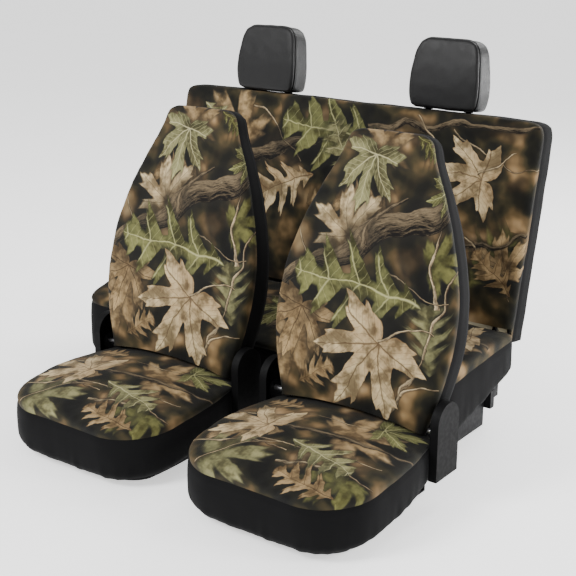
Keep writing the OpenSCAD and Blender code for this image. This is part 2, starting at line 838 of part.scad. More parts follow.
module headrest_posts(side) color(steel_colour) on_headrest(side) {
    headrest_post_pair(post_r, sleeve_low - 60, headrest_low + 120);
    tube_between([-post_x, 0, headrest_low + 120], [post_x, 0, headrest_low + 120], post_r);
    for (s = [-1, 1]) translate([s * post_x, 0, headrest_low + 120]) sphere(post_r);
}

module headrest_foam(side) color(foam_colour) on_headrest(side) difference() {
    headrest_body(skin + gap);
    headrest_post_pair(post_r + gap, headrest_low - 20, headrest_low + 120);
    tube_between([-post_x, 0, headrest_low + 120], [post_x, 0, headrest_low + 120], post_r + gap);
    for (s = [-1, 1]) translate([s * post_x, 0, headrest_low + 120]) sphere(post_r + gap);
}

module headrest_shell() difference() {
    headrest_body(0);
    headrest_body(skin);
    headrest_post_pair(post_r + 1.5, headrest_low - 20, headrest_low + 60);
}

piping_t = 4;
headrest_cut = -40;           // place of the piping, from the middle of the posts

module headrest_front_cover(side) color(leather_colour) on_headrest(side) intersection() {
    headrest_shell();
    translate([-200, -200 + headrest_cut, 0]) cube([400, 200, 2000]);
}

module headrest_side_gusset(side) color(leather_colour) on_headrest(side) intersection() {
    headrest_shell();
    translate([-200, headrest_cut + piping_t, 0]) cube([400, 200, 2000]);
}

module headrest_piping(side) color(cloth_colour) on_headrest(side) difference() {
    intersection() {
        headrest_body(-1);
        translate([-200, headrest_cut, 0]) cube([400, piping_t, 2000]);
    }
    headrest_body(skin);
    headrest_post_pair(post_r + 1.5, headrest_low - 20, headrest_low + 60);
}

// ---- Drawing -------------------------------------------------------------

front_seat(left) front_seat_pan();  // front_left_seat_pan
front_seat(left) front_cushion_foam();  // front_left_cushion_foam
front_seat(left) front_cushion_top_panel();  // front_left_cushion_top_panel
front_seat(left) front_cushion_skirt();  // front_left_cushion_skirt
front_seat(left) front_cushion_hem_elastic();  // front_left_cushion_hem_elastic
front_seat(left) front_underside_straps();  // front_left_underside_straps
front_seat(left) front_recliner_brackets();  // front_left_recliner_brackets
front_seat(left) front_pivot_pins();  // front_left_pivot_pins
front_seat(left) front_recliner_covers();  // front_left_recliner_covers
front_seat(left) front_back_frame();  // front_left_back_frame
front_seat(left) front_back_foam();  // front_left_back_foam
front_seat(left) front_back_front_panel();  // front_left_back_front_panel
front_seat(left) front_back_side_gusset();  // front_left_back_side_gusset
front_seat(left) front_back_rear_panel();  // front_left_back_rear_panel
front_seat(left) front_back_hem_elastic();  // front_left_back_hem_elastic
front_seat(left) front_anchor_straps();  // front_left_anchor_straps
front_seat(right) front_seat_pan();  // front_right_seat_pan
front_seat(right) front_cushion_foam();  // front_right_cushion_foam
front_seat(right) front_cushion_top_panel();  // front_right_cushion_top_panel
front_seat(right) front_cushion_skirt();  // front_right_cushion_skirt
front_seat(right) front_cushion_hem_elastic();  // front_right_cushion_hem_elastic
front_seat(right) front_underside_straps();  // front_right_underside_straps
front_seat(right) front_recliner_brackets();  // front_right_recliner_brackets
front_seat(right) front_pivot_pins();  // front_right_pivot_pins
front_seat(right) front_recliner_covers();  // front_right_recliner_covers
front_seat(right) front_back_frame();  // front_right_back_frame
front_seat(right) front_back_foam();  // front_right_back_foam
front_seat(right) front_back_front_panel();  // front_right_back_front_panel
front_seat(right) front_back_side_gusset();  // front_right_back_side_gusset
front_seat(right) front_back_rear_panel();  // front_right_back_rear_panel
front_seat(right) front_back_hem_elastic();  // front_right_back_hem_elastic
front_seat(right) front_anchor_straps();  // front_right_anchor_straps
bench_seat_pan();
bench_cushion_foam();
bench_cushion_top_panel();
bench_cushion_skirt();
bench_cushion_hem_elastic();
bench_underside_straps();
bench_hinge_brackets();
bench_hinge_pins();
bench_back_frame();
bench_back_foam();
bench_back_front_panel();
bench_back_side_gusset();
bench_back_rear_panel();
bench_back_hem_elastic();
bench_guide_sleeves();
headrest_posts(left);  // headrest_left_posts
headrest_foam(left);  // headrest_left_foam
headrest_front_cover(left);  // headrest_left_front_cover
headrest_side_gusset(left);  // headrest_left_side_gusset
headrest_piping(left);  // headrest_left_piping
headrest_posts(right);  // headrest_right_posts
headrest_foam(right);  // headrest_right_foam
headrest_front_cover(right);  // headrest_right_front_cover
headrest_side_gusset(right);  // headrest_right_side_gusset
headrest_piping(right);  // headrest_right_piping
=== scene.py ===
"""Seat cover set: two bucket seats and a rear bench in leaf-print covers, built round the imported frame.

Lengths are in metres. A height share runs from 0 at a backrest's pivot line to 1 at its top.
"""

import json
import math

import bmesh
import bpy
import numpy as np
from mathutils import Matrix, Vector, noise


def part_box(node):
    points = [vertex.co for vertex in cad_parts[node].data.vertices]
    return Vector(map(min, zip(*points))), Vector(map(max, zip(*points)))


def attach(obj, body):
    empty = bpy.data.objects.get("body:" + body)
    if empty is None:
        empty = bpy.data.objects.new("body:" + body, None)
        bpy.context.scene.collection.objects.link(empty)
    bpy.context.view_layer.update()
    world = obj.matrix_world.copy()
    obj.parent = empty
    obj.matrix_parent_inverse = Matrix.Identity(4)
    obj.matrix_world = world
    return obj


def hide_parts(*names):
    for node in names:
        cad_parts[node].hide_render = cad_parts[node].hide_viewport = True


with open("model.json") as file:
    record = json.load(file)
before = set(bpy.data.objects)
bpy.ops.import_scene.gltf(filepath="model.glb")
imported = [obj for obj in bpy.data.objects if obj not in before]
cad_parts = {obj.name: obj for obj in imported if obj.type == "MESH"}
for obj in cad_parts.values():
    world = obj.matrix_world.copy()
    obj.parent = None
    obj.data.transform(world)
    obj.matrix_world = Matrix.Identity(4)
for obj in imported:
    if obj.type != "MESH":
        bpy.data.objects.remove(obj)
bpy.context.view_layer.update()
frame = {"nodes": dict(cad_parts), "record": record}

# ---------------------------------------------------------------- sizes
# They are the CAD's, apart from BENCH_LOW, which is 18 mm lower, so that the gap over the bench cushion stays dark.

PIVOT = (0.492, 0.212)
FRONT_LEAN, BENCH_LEAN = math.radians(14), math.radians(9)
CUSHION_W, CUSHION_D = 0.600, 0.510
SIDE_BOW_R, SIDE_BOW_Y = 1.170, 0.230
FRONT_SEAM, FRONT_HEM = (0.150, 0.188), (0.018, 0.072)  # heights at the front and rear ends
BACK_H, BACK_HALF, BACK_LOW = 0.808, 0.300, -0.024
BENCH_W, BENCH_D = 1.470, 0.480
BENCH_SEAM, BENCH_HEM = (0.258, 0.292), (0.060, 0.190)
BENCH_H, BENCH_HALF, BENCH_LOW = 0.676, 0.735, -0.032
BENCH_PIVOT = (0.506, 0.298)
HEAD_W, HEAD_H, HEAD_D = 0.256, 0.224, 0.104
HEAD_LOW = BENCH_H + 0.008
HEAD_PITCH, POST_N, HEAD_SHIFT = 0.730, 0.024, -0.012
SEAM_IN, REAR_SEAM_IN = 0.030, 0.010  # how far the printed face and the rear panel wrap round the edge
CUSHION_AIR = 0.010  # kept between a backrest and the cushion below it
BACK_HEM_IN, BACK_HEM_LIFT = 0.011, 0.016
CUSHION_HEM_IN, CUSHION_HEM_LIFT = 0.007, 0.003
HEM_RADIUS = 0.006
FRONT_SEED, BENCH_SEED, HEAD_SEED = 3.0, 7.0, 31.0
PRINT_UV = "Print"

# Height shares and the half width there, as a share of the widest
FRONT_OUTLINE = ([-0.04, 0.02, 0.08, 0.16, 0.25, 0.35, 0.45, 0.6, 0.78, 0.93, 1],
                 [0.79, 0.85, 0.895, 0.945, 0.985, 1, 0.98, 0.88, 0.685, 0.49, 0.41])
BENCH_OUTLINE = ([-0.04, 0.3, 0.7, 1], [0.966, 0.980, 0.993, 1])


def ease(f):
    """A smooth rise from 0 at f = 0 to 1 at f = 1."""
    f = np.clip(f, 0, 1)
    return f * f * (3 - 2 * f)


def front_face(t):
    """Where a front backrest's face lies, ahead of the pivot plane, at height share t."""
    return -0.032 - 0.019 * np.sin(np.pi / 2 * np.minimum(1, t / 0.25)) + 0.014 * ease((t - 0.45) / 0.55)


def front_rear(t):
    """Where a front backrest's rear lies at height share t."""
    return 0.068 - 0.028 * t * t


def bench_face(t):
    return -0.036 - 0.006 * np.sin(np.pi * t)


def bench_rear(t):
    return 0.082 - 0.010 * t


def smooth_curve(points, t):
    """A smooth run through listed points."""
    xs, ys = (np.array(v, float) for v in points)
    slopes = np.gradient(ys, xs)
    i = np.clip(np.searchsorted(xs, t, side="right") - 1, 0, len(xs) - 2)
    w = xs[i + 1] - xs[i]
    f = (t - xs[i]) / w
    return ((2 * f**3 - 3 * f**2 + 1) * ys[i] + (f**3 - 2 * f**2 + f) * w * slopes[i]
            + (3 * f**2 - 2 * f**3) * ys[i + 1] + (f**3 - f**2) * w * slopes[i + 1])


# ---------------------------------------------------------------- lattices

def block(nx, ny, nz, closed=False):
    """Points and outward quads on the sides and top of an nx by ny by nz block, open underneath unless closed."""
    ids = np.full((nx + 1, ny + 1, nz + 1), -1)
    shown = np.zeros(ids.shape, bool)
    shown[0], shown[-1], shown[:, 0], shown[:, -1], shown[:, :, -1] = True, True, True, True, True
    if closed:
        shown[:, :, 0] = True
    ids[shown] = np.arange(shown.sum())
    cells = np.argwhere(shown)

    def quads(grid, flip):
        a, b, c, d = grid[:-1, :-1], grid[1:, :-1], grid[1:, 1:], grid[:-1, 1:]
        q = np.stack([a, b, c, d] if not flip else [a, d, c, b], -1)
        return q.reshape(-1, 4)

    faces = [quads(ids[:, 0], False), quads(ids[:, -1], True), quads(ids[0], True), quads(ids[-1], False),
             quads(ids[:, :, -1], False)]
    if closed:
        faces.append(quads(ids[:, :, 0], True))
    return cells, np.concatenate(faces)


def edges_of(quads):
    """Each edge of the quads, once."""
    e = np.concatenate([quads[:, [0, 1]], quads[:, [1, 2]], quads[:, [2, 3]], quads[:, [3, 0]]])
    return np.unique(np.sort(e, 1), axis=0)


def relax(points, quads, rounds, keep_z=None):
    """Rounds the edges of a lattice: each round moves points halfway to the mean of their neighbours.

    keep_z marks the points whose height stays.
    """
    e = edges_of(quads)
    n = len(points)
    degree = np.bincount(e.ravel(), minlength=n)[:, None]
    for _ in range(rounds):
        total = np.stack([np.bincount(e[:, 0], points[e[:, 1], a], n) + np.bincount(e[:, 1], points[e[:, 0], a], n)
                          for a in range(3)], 1)
        moved = points + 0.5 * (total / degree - points)
        if keep_z is not None:
            moved[keep_z, 2] = points[keep_z, 2]
        points = moved
    return points


def normals_of(points, quads):
    """Unit normals at the points."""
    a, b, c, d = (points[quads[:, k]] for k in range(4))
    face = np.cross(c - a, d - b)
    out = np.zeros_like(points)
    for k in range(4):
        for axis in range(3):
            out[:, axis] += np.bincount(quads[:, k], face[:, axis], len(points))
    return out / np.maximum(np.linalg.norm(out, axis=1, keepdims=True), 1e-12)


def wobble(points, scale, seed, stretch=(1, 1, 1)):
    """Smooth noise from -1 to 1 at each point; scale is in bumps a metre."""
    shift = Vector((seed * 7.31, seed * 3.17, seed * 5.53))
    k = np.array(stretch) * scale
    return np.array([noise.noise(Vector(p) + shift) for p in points * k])


def round_plan(x, y, half_w, y0, y1, r0, r1):
    """Bends the square corners of a plan onto arcs: r0 at the y0 end, r1 at the y1 end."""
    x, y = x.copy(), y.copy()
    for radius, edge, sign in ((r0, y0, -1), (r1, y1, 1)):
        b = sign * (y - (edge - sign * radius))
        a = np.abs(x) - (half_w - radius)
        corner = (a > 0) & (b > 0)
        reach, length = np.maximum(a, b), np.maximum(np.hypot(a, b), 1e-9)
        x = np.where(corner, np.sign(x) * (half_w - radius + reach * a / length), x)
        y = np.where(corner, edge - sign * radius + sign * reach * b / length, y)
    return x, y


def near_seam(cells, axis, index, reach):
    """1 on a lattice line, falling to 0 within reach lines of it."""
    return np.clip(1 - np.abs(cells[:, axis] - index) / reach, 0, 1)


# ---------------------------------------------------------------- pieces

def make_piece(name, points, quads, material, uv=None):
    """A smooth-shaded mesh object from the points that the quads use."""
    used, inverse = np.unique(quads, return_inverse=True)
    mesh = bpy.data.meshes.new(name)
    local = inverse.reshape(quads.shape)
    mesh.from_pydata(points[used].tolist(), [], local.tolist())
    mesh.polygons.foreach_set("use_smooth", np.ones(len(local), bool))
    if uv is not None:
        layer = mesh.uv_layers.new(name=PRINT_UV)
        layer.data.foreach_set("uv", uv[used][local.ravel()].astype(np.float32).ravel())
    mesh.materials.append(material)
    obj = bpy.data.objects.new(name, mesh)
    bpy.context.scene.collection.objects.link(obj)
    return obj


def ring_tube(name, path, radius, material, sides=8):
    """A round tube along a closed path of points."""
    ahead = np.roll(path, -1, 0) - np.roll(path, 1, 0)
    ahead /= np.linalg.norm(ahead, axis=1, keepdims=True)
    side = np.cross(ahead[0], [0.3, 0.5, 0.81])
    side /= np.linalg.norm(side)
    rings = []
    radii = np.broadcast_to(radius, len(path))
    for p, d, r in zip(path, ahead, radii):
        side = side - d * np.dot(side, d)
        side /= np.linalg.norm(side)
        other = np.cross(d, side)
        angles = np.arange(sides) * 2 * math.pi / sides
        rings.append(p + r * (np.cos(angles)[:, None] * side + np.sin(angles)[:, None] * other))
    count = len(path)
    points = np.concatenate(rings)
    quads = []
    for i in range(count):
        j = (i + 1) % count
        for k in range(sides):
            m = (k + 1) % sides
            quads.append((i * sides + k, i * sides + m, j * sides + m, j * sides + k))
    return make_piece(name, points, np.array(quads), material)


def assign(obj, body, slot_name, *nodes):
    """Says which body a piece rides on and hides the CAD nodes that it stands for; slot_name, its material slot, is
    not used.
    """
    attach(obj, body)
    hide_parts(*nodes)
    return obj


# ---------------------------------------------------------------- materials

class Net:
    """Shorthand for building shader nodes."""

    def __init__(self, tree):
        self.tree = tree

    def node(self, kind, **settings):
        n = self.tree.nodes.new(kind)
        for key, value in settings.items():
            setattr(n, key, value)
        return n

    def put(self, value, socket):
        if isinstance(value, bpy.types.NodeSocket):
            self.tree.links.new(value, socket)
        elif value is not None:
            socket.default_value = value

    def math(self, op, a, b=None, clamp=False):
        n = self.node("ShaderNodeMath", operation=op, use_clamp=clamp)
        self.put(a, n.inputs[0])
        self.put(b, n.inputs[1])
        return n.outputs[0]

    def add(self, a, b, clamp=False):
        return self.math("ADD", a, b, clamp)

    def minus(self, a, b):
        return self.math("SUBTRACT", a, b)

    def times(self, a, b):
        return self.math("MULTIPLY", a, b)

    def vector(self, op, a, b=None, scale=None):
        n = self.node("ShaderNodeVectorMath", operation=op)
        self.put(a, n.inputs[0])
        self.put(b, n.inputs[1])
        if scale is not None:
            self.put(scale, n.inputs["Scale"])
        return n.outputs["Value" if op in ("DOT_PRODUCT", "LENGTH") else "Vector"]

    def split(self, v):
        n = self.node("ShaderNodeSeparateXYZ")
        self.put(v, n.inputs[0])
        return n.outputs

    def join(self, x, y, z=0.0):
        n = self.node("ShaderNodeCombineXYZ")
        for value, socket in zip((x, y, z), n.inputs):
            self.put(value, socket)
        return n.outputs[0]

    def step(self, value, low, high, to_low=0.0, to_high=1.0):
        """A smooth step between two values."""
        n = self.node("ShaderNodeMapRange", interpolation_type="SMOOTHSTEP")
        ends = {"Value": value, "From Min": low, "From Max": high, "To Min": to_low, "To Max": to_high}
        for key, v in ends.items():
            self.put(v, n.inputs[key])
        return n.outputs[0]

    def mix(self, factor, a, b, blend="MIX"):
        """Mixes two colours; the node's colour sockets come after its number and vector ones."""
        n = self.node("ShaderNodeMix", data_type="RGBA", blend_type=blend)
        self.put(factor, n.inputs[0])
        self.put(rgba(a), n.inputs[6])
        self.put(rgba(b), n.inputs[7])
        return n.outputs[2]

    def noise(self, v, scale, detail=2.0, roughness=0.5, colour=False):
        n = self.node("ShaderNodeTexNoise")
        self.put(v, n.inputs["Vector"])
        n.inputs["Scale"].default_value = scale
        n.inputs["Detail"].default_value = detail
        n.inputs["Roughness"].default_value = roughness
        return n.outputs["Color" if colour else "Fac"]

    def curve(self, value, points):
        """A run of straight lines through the points."""
        n = self.node("ShaderNodeFloatCurve")
        self.put(value, n.inputs["Value"])
        line = n.mapping.curves[0]
        while len(line.points) < len(points):
            line.points.new(0.5, 0.5)
        for p, (x, y) in zip(line.points, points):
            p.location = (x, y)
            p.handle_type = "VECTOR"
        n.mapping.update()
        return n.outputs[0]

    def ramp(self, value, stops):
        n = self.node("ShaderNodeValToRGB")
        self.put(value, n.inputs[0])
        line = n.color_ramp
        while len(line.elements) < len(stops):
            line.elements.new(0.5)
        for e, (at, colour) in zip(line.elements, stops):
            e.position, e.color = at, rgba(colour)
        return n.outputs[0]

    def group(self, tree, **values):
        n = self.node("ShaderNodeGroup")
        n.node_tree = tree
        for key, value in values.items():
            self.put(rgba(value), n.inputs[key])
        return n.outputs[0]


def rgba(colour):
    """Adds full alpha to a colour of three numbers, and leaves anything else alone."""
    return (*colour, 1.0) if isinstance(colour, tuple) and len(colour) == 3 else colour


def srgb(r, g, b):
    """A colour from 0 to 255 values as seen, made linear."""
    return tuple(((c / 255 + 0.055) / 1.055) ** 2.4 if c > 10 else c / 255 / 12.92 for c in (r, g, b))


def new_group(name, inputs):
    """A node group with one colour output: its builder, its inputs and its output node.

    inputs lists names and kinds: c a colour, f a number, v a vector.
    """
    tree = bpy.data.node_groups.new(name, "ShaderNodeTree")
    kinds = {"c": "NodeSocketColor", "f": "NodeSocketFloat", "v": "NodeSocketVector"}
    for key, kind in (pair.split(":") for pair in inputs.split()):
        tree.interface.new_socket(key, in_out="INPUT", socket_type=kinds[kind])
    tree.interface.new_socket("Color", in_out="OUTPUT", socket_type="NodeSocketColor")
    return Net(tree), tree.nodes.new("NodeGroupInput").outputs, tree.nodes.new("NodeGroupOutput")


# A five-lobed leaf: the angle from its middle lobe, as a share of half a turn, and how far the outline reaches
MAPLE_EDGE = [(deg / 180, reach) for deg, reach in (
    (0, 1.0), (3, 0.90), (6, 0.82), (9, 0.79), (12, 0.87), (14, 0.78), (16, 0.62), (19, 0.45), (23, 0.37), (27, 0.38),
    (30, 0.50), (33, 0.70), (36, 0.82), (39, 0.78), (42, 0.84), (46, 0.98), (49, 0.88), (53, 0.77), (56, 0.76),
    (59, 0.81), (61, 0.70), (65, 0.50), (70, 0.38), (76, 0.36), (82, 0.44), (87, 0.63), (90, 0.60), (95, 0.66),
    (100, 0.78), (105, 0.60), (112, 0.46), (119, 0.53), (124, 0.40), (136, 0.30), (150, 0.22), (165, 0.12),
    (180, 0.03))]
# A long lobed leaf: the place along it, measured along its slanted side veins, and its half width there
OAK_EDGE = [(0, 0), (0.03, 0.03), (0.06, 0.035), (0.08, 0.10), (0.10, 0.14), (0.12, 0.10), (0.14, 0.05), (0.18, 0.05),
            (0.20, 0.17), (0.22, 0.19), (0.245, 0.30), (0.27, 0.23), (0.29, 0.25), (0.31, 0.12), (0.33, 0.065),
            (0.38, 0.06), (0.40, 0.20), (0.42, 0.24), (0.45, 0.37), (0.48, 0.28), (0.50, 0.30), (0.52, 0.14),
            (0.545, 0.07), (0.59, 0.065), (0.61, 0.18), (0.63, 0.20), (0.66, 0.30), (0.69, 0.21), (0.71, 0.21),
            (0.73, 0.10), (0.76, 0.055), (0.80, 0.06), (0.82, 0.14), (0.85, 0.18), (0.88, 0.11), (0.92, 0.10),
            (0.96, 0.05), (1, 0)]

LEAF_INPUTS = "Ground:c UV:v Mottle:f Lit:f X:f Y:f Angle:f Size:f Wide:f Light:c Dark:c Vein:c Blur:f"
BRANCH_INPUTS = "Ground:c UV:v Mottle:f X1:f Y1:f X2:f Y2:f R1:f R2:f Bend:f Light:c Dark:c Blur:f"
VEIN_BLUR = (0.03, 0.09)  # a leaf out of focus by this much loses its veins and its rim
LOBES = (0.0, 0.25, 0.5)  # a five-lobed leaf's main veins on one side, as shares of half a turn
RIB_PITCH, RIB_START = 0.225, 0.07  # side veins of a long leaf


def leaf_frame(net, given):
    """The leaf's own coordinates: along its axis and across it, with the stem's end at the origin."""
    moved = net.split(net.vector("SUBTRACT", given["UV"], net.join(given["X"], given["Y"])))
    c, s = net.math("COSINE", given["Angle"]), net.math("SINE", given["Angle"])
    along = net.add(net.times(moved[0], c), net.times(moved[1], s))
    across = net.minus(net.times(moved[1], c), net.times(moved[0], s))
    width = net.times(given["Size"], given["Wide"])
    return net.math("DIVIDE", along, given["Size"]), net.math("DIVIDE", across, width)


def leaf_paint(net, given, depth, vein, tone, out):
    """Puts a leaf over its ground: depth is how far inside the outline a point is, in leaf lengths."""
    inside = net.step(depth, net.times(given["Blur"], -1.0), given["Blur"])
    shade = net.step(depth, -0.30, 0.04)
    ground = net.mix(net.times(shade, 0.62), given["Ground"], (0.012, 0.012, 0.010))
    leaf = net.mix(tone, given["Dark"], given["Light"])
    shaded = net.mix(1.0, leaf, (0.20, 0.18, 0.15), "MULTIPLY")
    leaf = net.mix(net.times(given["Lit"], 0.85), leaf, shaded)
    leaf = net.mix(net.times(vein, net.step(given["Blur"], *VEIN_BLUR, 0.85, 0.0)), leaf, given["Vein"])
    rim = net.step(depth, 0.0, 0.035, 0.55, 0.0)
    leaf = net.mix(net.times(rim, net.step(given["Blur"], *VEIN_BLUR, 1.0, 0.0)), leaf, given["Dark"])
    net.put(net.mix(inside, ground, leaf), out.inputs[0])


def maple_group():
    """A five-lobed leaf with a vein to each lobe."""
    net, given, out = new_group("maple leaf", LEAF_INPUTS)
    a, b = leaf_frame(net, given)
    side = net.math("ABSOLUTE", b)
    far = net.math("SQRT", net.add(net.times(a, a), net.times(b, b)))
    turn = net.math("DIVIDE", net.math("ARCTAN2", side, a), math.pi)
    edge = net.curve(turn, MAPLE_EDGE)
    depth = net.minus(edge, far)
    nearest, stripe = None, None
    for lobe in LOBES:
        c, s = math.cos(lobe * math.pi), math.sin(lobe * math.pi)
        along = net.add(net.times(a, c), net.times(side, s))
        across = net.math("ABSOLUTE", net.minus(net.times(side, c), net.times(a, s)))
        off = net.add(across, net.times(net.math("LESS_THAN", along, 0.0), 5.0))
        nearest = off if nearest is None else net.math("MINIMUM", nearest, off)
        line = net.minus(along, net.times(across, 1.25))
        stripe = line if stripe is None else net.math("MAXIMUM", stripe, line)
    width = net.minus(0.022, net.times(far, 0.015))
    main = net.step(nearest, width, 0.0)
    ribs = net.step(net.math("SINE", net.times(stripe, 52.0)), 0.90, 1.0, 0.0, 0.5)
    vein = net.math("MAXIMUM", main, ribs)
    folded = net.times(net.step(nearest, 0.0, 0.14), 0.22)
    lighter = net.minus(net.times(far, 0.55), folded)
    tone = net.add(net.times(given["Mottle"], 0.75), lighter, clamp=True)
    leaf_paint(net, given, depth, vein, tone, out)
    return net.tree


def oak_group():
    """A long leaf with slanted lobes and side veins."""
    net, given, out = new_group("oak leaf", LEAF_INPUTS)
    a, b = leaf_frame(net, given)
    side = net.math("ABSOLUTE", b)
    slanted = net.minus(a, net.times(side, 0.55))
    edge = net.curve(slanted, OAK_EDGE)
    depth = net.minus(edge, side)
    depth = net.minus(depth, net.math("GREATER_THAN", slanted, 1.0))
    depth = net.minus(depth, net.math("LESS_THAN", slanted, 0.0))
    main = net.step(side, net.minus(0.017, net.times(a, 0.012)), 0.0)
    phase = net.math("FRACT", net.math("DIVIDE", net.add(slanted, RIB_START), RIB_PITCH))
    from_rib = net.math("ABSOLUTE", net.minus(phase, 0.5))
    ribs = net.step(from_rib, 0.05, 0.0, 0.0, 0.8)
    fine = net.step(net.math("SINE", net.times(net.add(slanted, side), 90.0)), 0.93, 1.0, 0.0, 0.3)
    vein = net.math("MAXIMUM", main, net.math("MAXIMUM", ribs, fine))
    half = net.step(b, -0.02, 0.02, -0.10, 0.14)
    lighter = net.add(half, net.times(from_rib, 0.35))
    tone = net.add(net.times(given["Mottle"], 0.8), lighter, clamp=True)
    leaf_paint(net, given, depth, vein, tone, out)
    return net.tree


def branch_group():
    """A tapered, bowed length of branch, lit from one side, with a shadow along the other."""
    net, given, out = new_group("branch", BRANCH_INPUTS)
    start = net.join(given["X1"], given["Y1"])
    line = net.vector("SUBTRACT", net.join(given["X2"], given["Y2"]), start)
    length = net.vector("LENGTH", line)
    unit = net.vector("NORMALIZE", line)
    p = net.vector("SUBTRACT", given["UV"], start)
    t = net.math("DIVIDE", net.vector("DOT_PRODUCT", p, unit), length)
    u, q = net.split(unit), net.split(p)
    off = net.minus(net.times(u[0], q[1]), net.times(u[1], q[0]))
    arch = net.times(t, net.minus(1.0, t))
    off = net.minus(off, net.times(arch, net.times(given["Bend"], 4.0)))
    radius = net.add(given["R1"], net.times(net.minus(given["R2"], given["R1"]), t))
    inside_ends = net.times(net.math("GREATER_THAN", t, 0.0), net.math("LESS_THAN", t, 1.0))
    far = net.math("ABSOLUTE", off)
    depth = net.minus(radius, far)
    mask = net.times(net.step(depth, net.times(given["Blur"], -1.0), given["Blur"]), inside_ends)
    shadow = net.times(net.step(net.add(off, net.times(radius, 0.8)),
                                           net.times(radius, -1.8), 0.0), inside_ends)
    shadow = net.times(shadow, net.step(far, net.times(radius, 3.2), radius))
    ground = net.mix(net.times(shadow, 0.6), given["Ground"], (0.012, 0.011, 0.009))
    lit = net.step(net.math("DIVIDE", off, radius), -0.9, 0.7)
    ridges = net.noise(net.join(net.times(net.times(t, length), 26.0),
                                net.times(off, 190.0), given["Mottle"]), 1.0, 3.0, 0.7)
    bark = net.add(net.times(lit, 0.6),
                    net.times(net.minus(ridges, 0.5), 2.6), clamp=True)
    net.put(net.mix(mask, ground, net.mix(bark, given["Dark"], given["Light"])), out.inputs[0])
    return net.tree


# Light, dark and vein tones of the leaves, and light and dark tones of the wood
TAN = (srgb(196, 168, 124), srgb(94, 72, 46), srgb(58, 42, 26))
PALE = (srgb(236, 216, 172), srgb(140, 110, 74), srgb(78, 56, 36))
GREEN = (srgb(146, 146, 92), srgb(46, 50, 27), srgb(184, 182, 132))
SAGE = (srgb(160, 156, 112), srgb(68, 70, 44), srgb(192, 186, 144))
MOSS = (srgb(132, 130, 76), srgb(54, 56, 28), srgb(160, 156, 100))
BARK = (srgb(128, 112, 88), srgb(14, 11, 8))
TWIG = (srgb(204, 184, 148), srgb(66, 50, 34))

SHARP, SOFT, FAINT = 0.012, 0.05, 0.12  # widths of an outline's blur, in leaf lengths
SHADE = srgb(10, 10, 8)
GROUND_TONES = [(0.36, SHADE), (0.45, srgb(30, 29, 20)), (0.52, srgb(62, 55, 36)), (0.58, srgb(104, 84, 56)),
                (0.65, srgb(154, 126, 90)), (0.74, srgb(190, 162, 122))]
GROUND_GREEN = srgb(92, 100, 52)
INK_SHARE = (0.74, 0.73, 0.70)  # how much of its light the printed cloth gives back


def leaf(kind, x, y, angle, size, tones, blur=SHARP, wide=1.0):
    return ("leaf", kind, x, y, math.radians(angle), size, wide, tones, blur)


def limb(x1, y1, x2, y2, r1, r2, bend=0.0, tones=BARK, blur=0.0012):
    return ("limb", x1, y1, x2, y2, r1, r2, bend, tones, blur)


def twig(x1, y1, x2, y2, r=0.0028, bend=0.0):
    return limb(x1, y1, x2, y2, r, r * 0.45, bend, TWIG, 0.0008)


# The prints, from the back layer to the front; places are metres on the flat panel
FRONT_BACK_PRINT = [
    leaf("maple", -0.02, 0.76, 75, 0.13, TAN, FAINT),
    leaf("maple", -0.20, 0.16, 200, 0.14, TAN, FAINT),
    leaf("oak", 0.08, 0.52, 160, 0.24, TAN, SOFT),
    leaf("maple", -0.08, 0.50, 100, 0.15, PALE, SOFT),
    leaf("maple", 0.22, 0.46, 20, 0.11, MOSS, FAINT),
    leaf("oak", 0.25, 0.16, 100, 0.20, SAGE, FAINT),
    twig(-0.30, 0.30, -0.10, 0.40, 0.0024, 0.015),
    twig(0.12, 0.02, 0.235, 0.24, 0.0055, -0.015),
    twig(0.225, 0.20, 0.30, 0.46, 0.0050, 0.015),
    twig(0.24, 0.36, 0.225, 0.57, 0.0046, 0.012),
    twig(0.13, 0.05, 0.29, 0.13, 0.0036, 0.015),
    twig(0.06, 0.44, 0.27, 0.37, 0.0022, -0.015),
    limb(-0.31, 0.330, 0.30, 0.640, 0.024, 0.038, 0.014),
    limb(-0.02, 0.49, 0.10, 0.64, 0.008, 0.003, 0.01),
    twig(-0.16, 0.39, -0.24, 0.52, 0.0026, 0.01),
    leaf("maple", -0.035, 0.735, -100, 0.175, SAGE, wide=0.75),
    leaf("oak", 0.10, 0.80, -40, 0.10, MOSS),
    leaf("maple", 0.235, 0.655, 150, 0.085, GREEN),
    leaf("maple", -0.20, 0.27, -105, 0.17, TAN),
    leaf("oak", 0.200, 0.345, 176, 0.440, GREEN, wide=0.95),
    leaf("maple", 0.075, 0.215, -122, 0.235, PALE),
    twig(0.070, 0.225, 0.25, 0.285, 0.0036, 0.018),
    leaf("oak", -0.18, 0.05, 30, 0.13, TAN, SOFT),
]

FRONT_CUSHION_PRINT = [
    leaf("maple", 0.10, 0.30, 40, 0.17, TAN, FAINT),
    leaf("oak", -0.05, 0.22, 200, 0.22, TAN, SOFT),
    leaf("maple", 0.22, 0.12, 250, 0.13, MOSS, FAINT),
    leaf("maple", -0.16, 0.05, 20, 0.16, SAGE, FAINT),
    limb(-0.30, 0.235, 0.30, 0.335, 0.010, 0.005, -0.02),
    twig(-0.30, 0.10, 0.02, 0.13, 0.0036, 0.012),
    twig(-0.28, 0.30, 0.14, 0.40, 0.0034, -0.02),
    twig(0.02, 0.09, 0.30, 0.15, 0.0038, 0.012),
    twig(-0.10, 0.15, 0.28, 0.24, 0.0036, -0.014),
    twig(-0.20, 0.02, -0.02, 0.16, 0.0030, 0.010),
    leaf("maple", -0.12, 0.24, 168, 0.20, PALE, wide=0.8),
    leaf("oak", 0.00, 0.20, -14, 0.22, SAGE),
    leaf("oak", 0.24, 0.045, 176, 0.20, TAN),
    leaf("maple", 0.16, 0.42, 15, 0.12, GREEN),
    leaf("oak", -0.10, 0.40, 170, 0.14, TAN, SOFT),
]

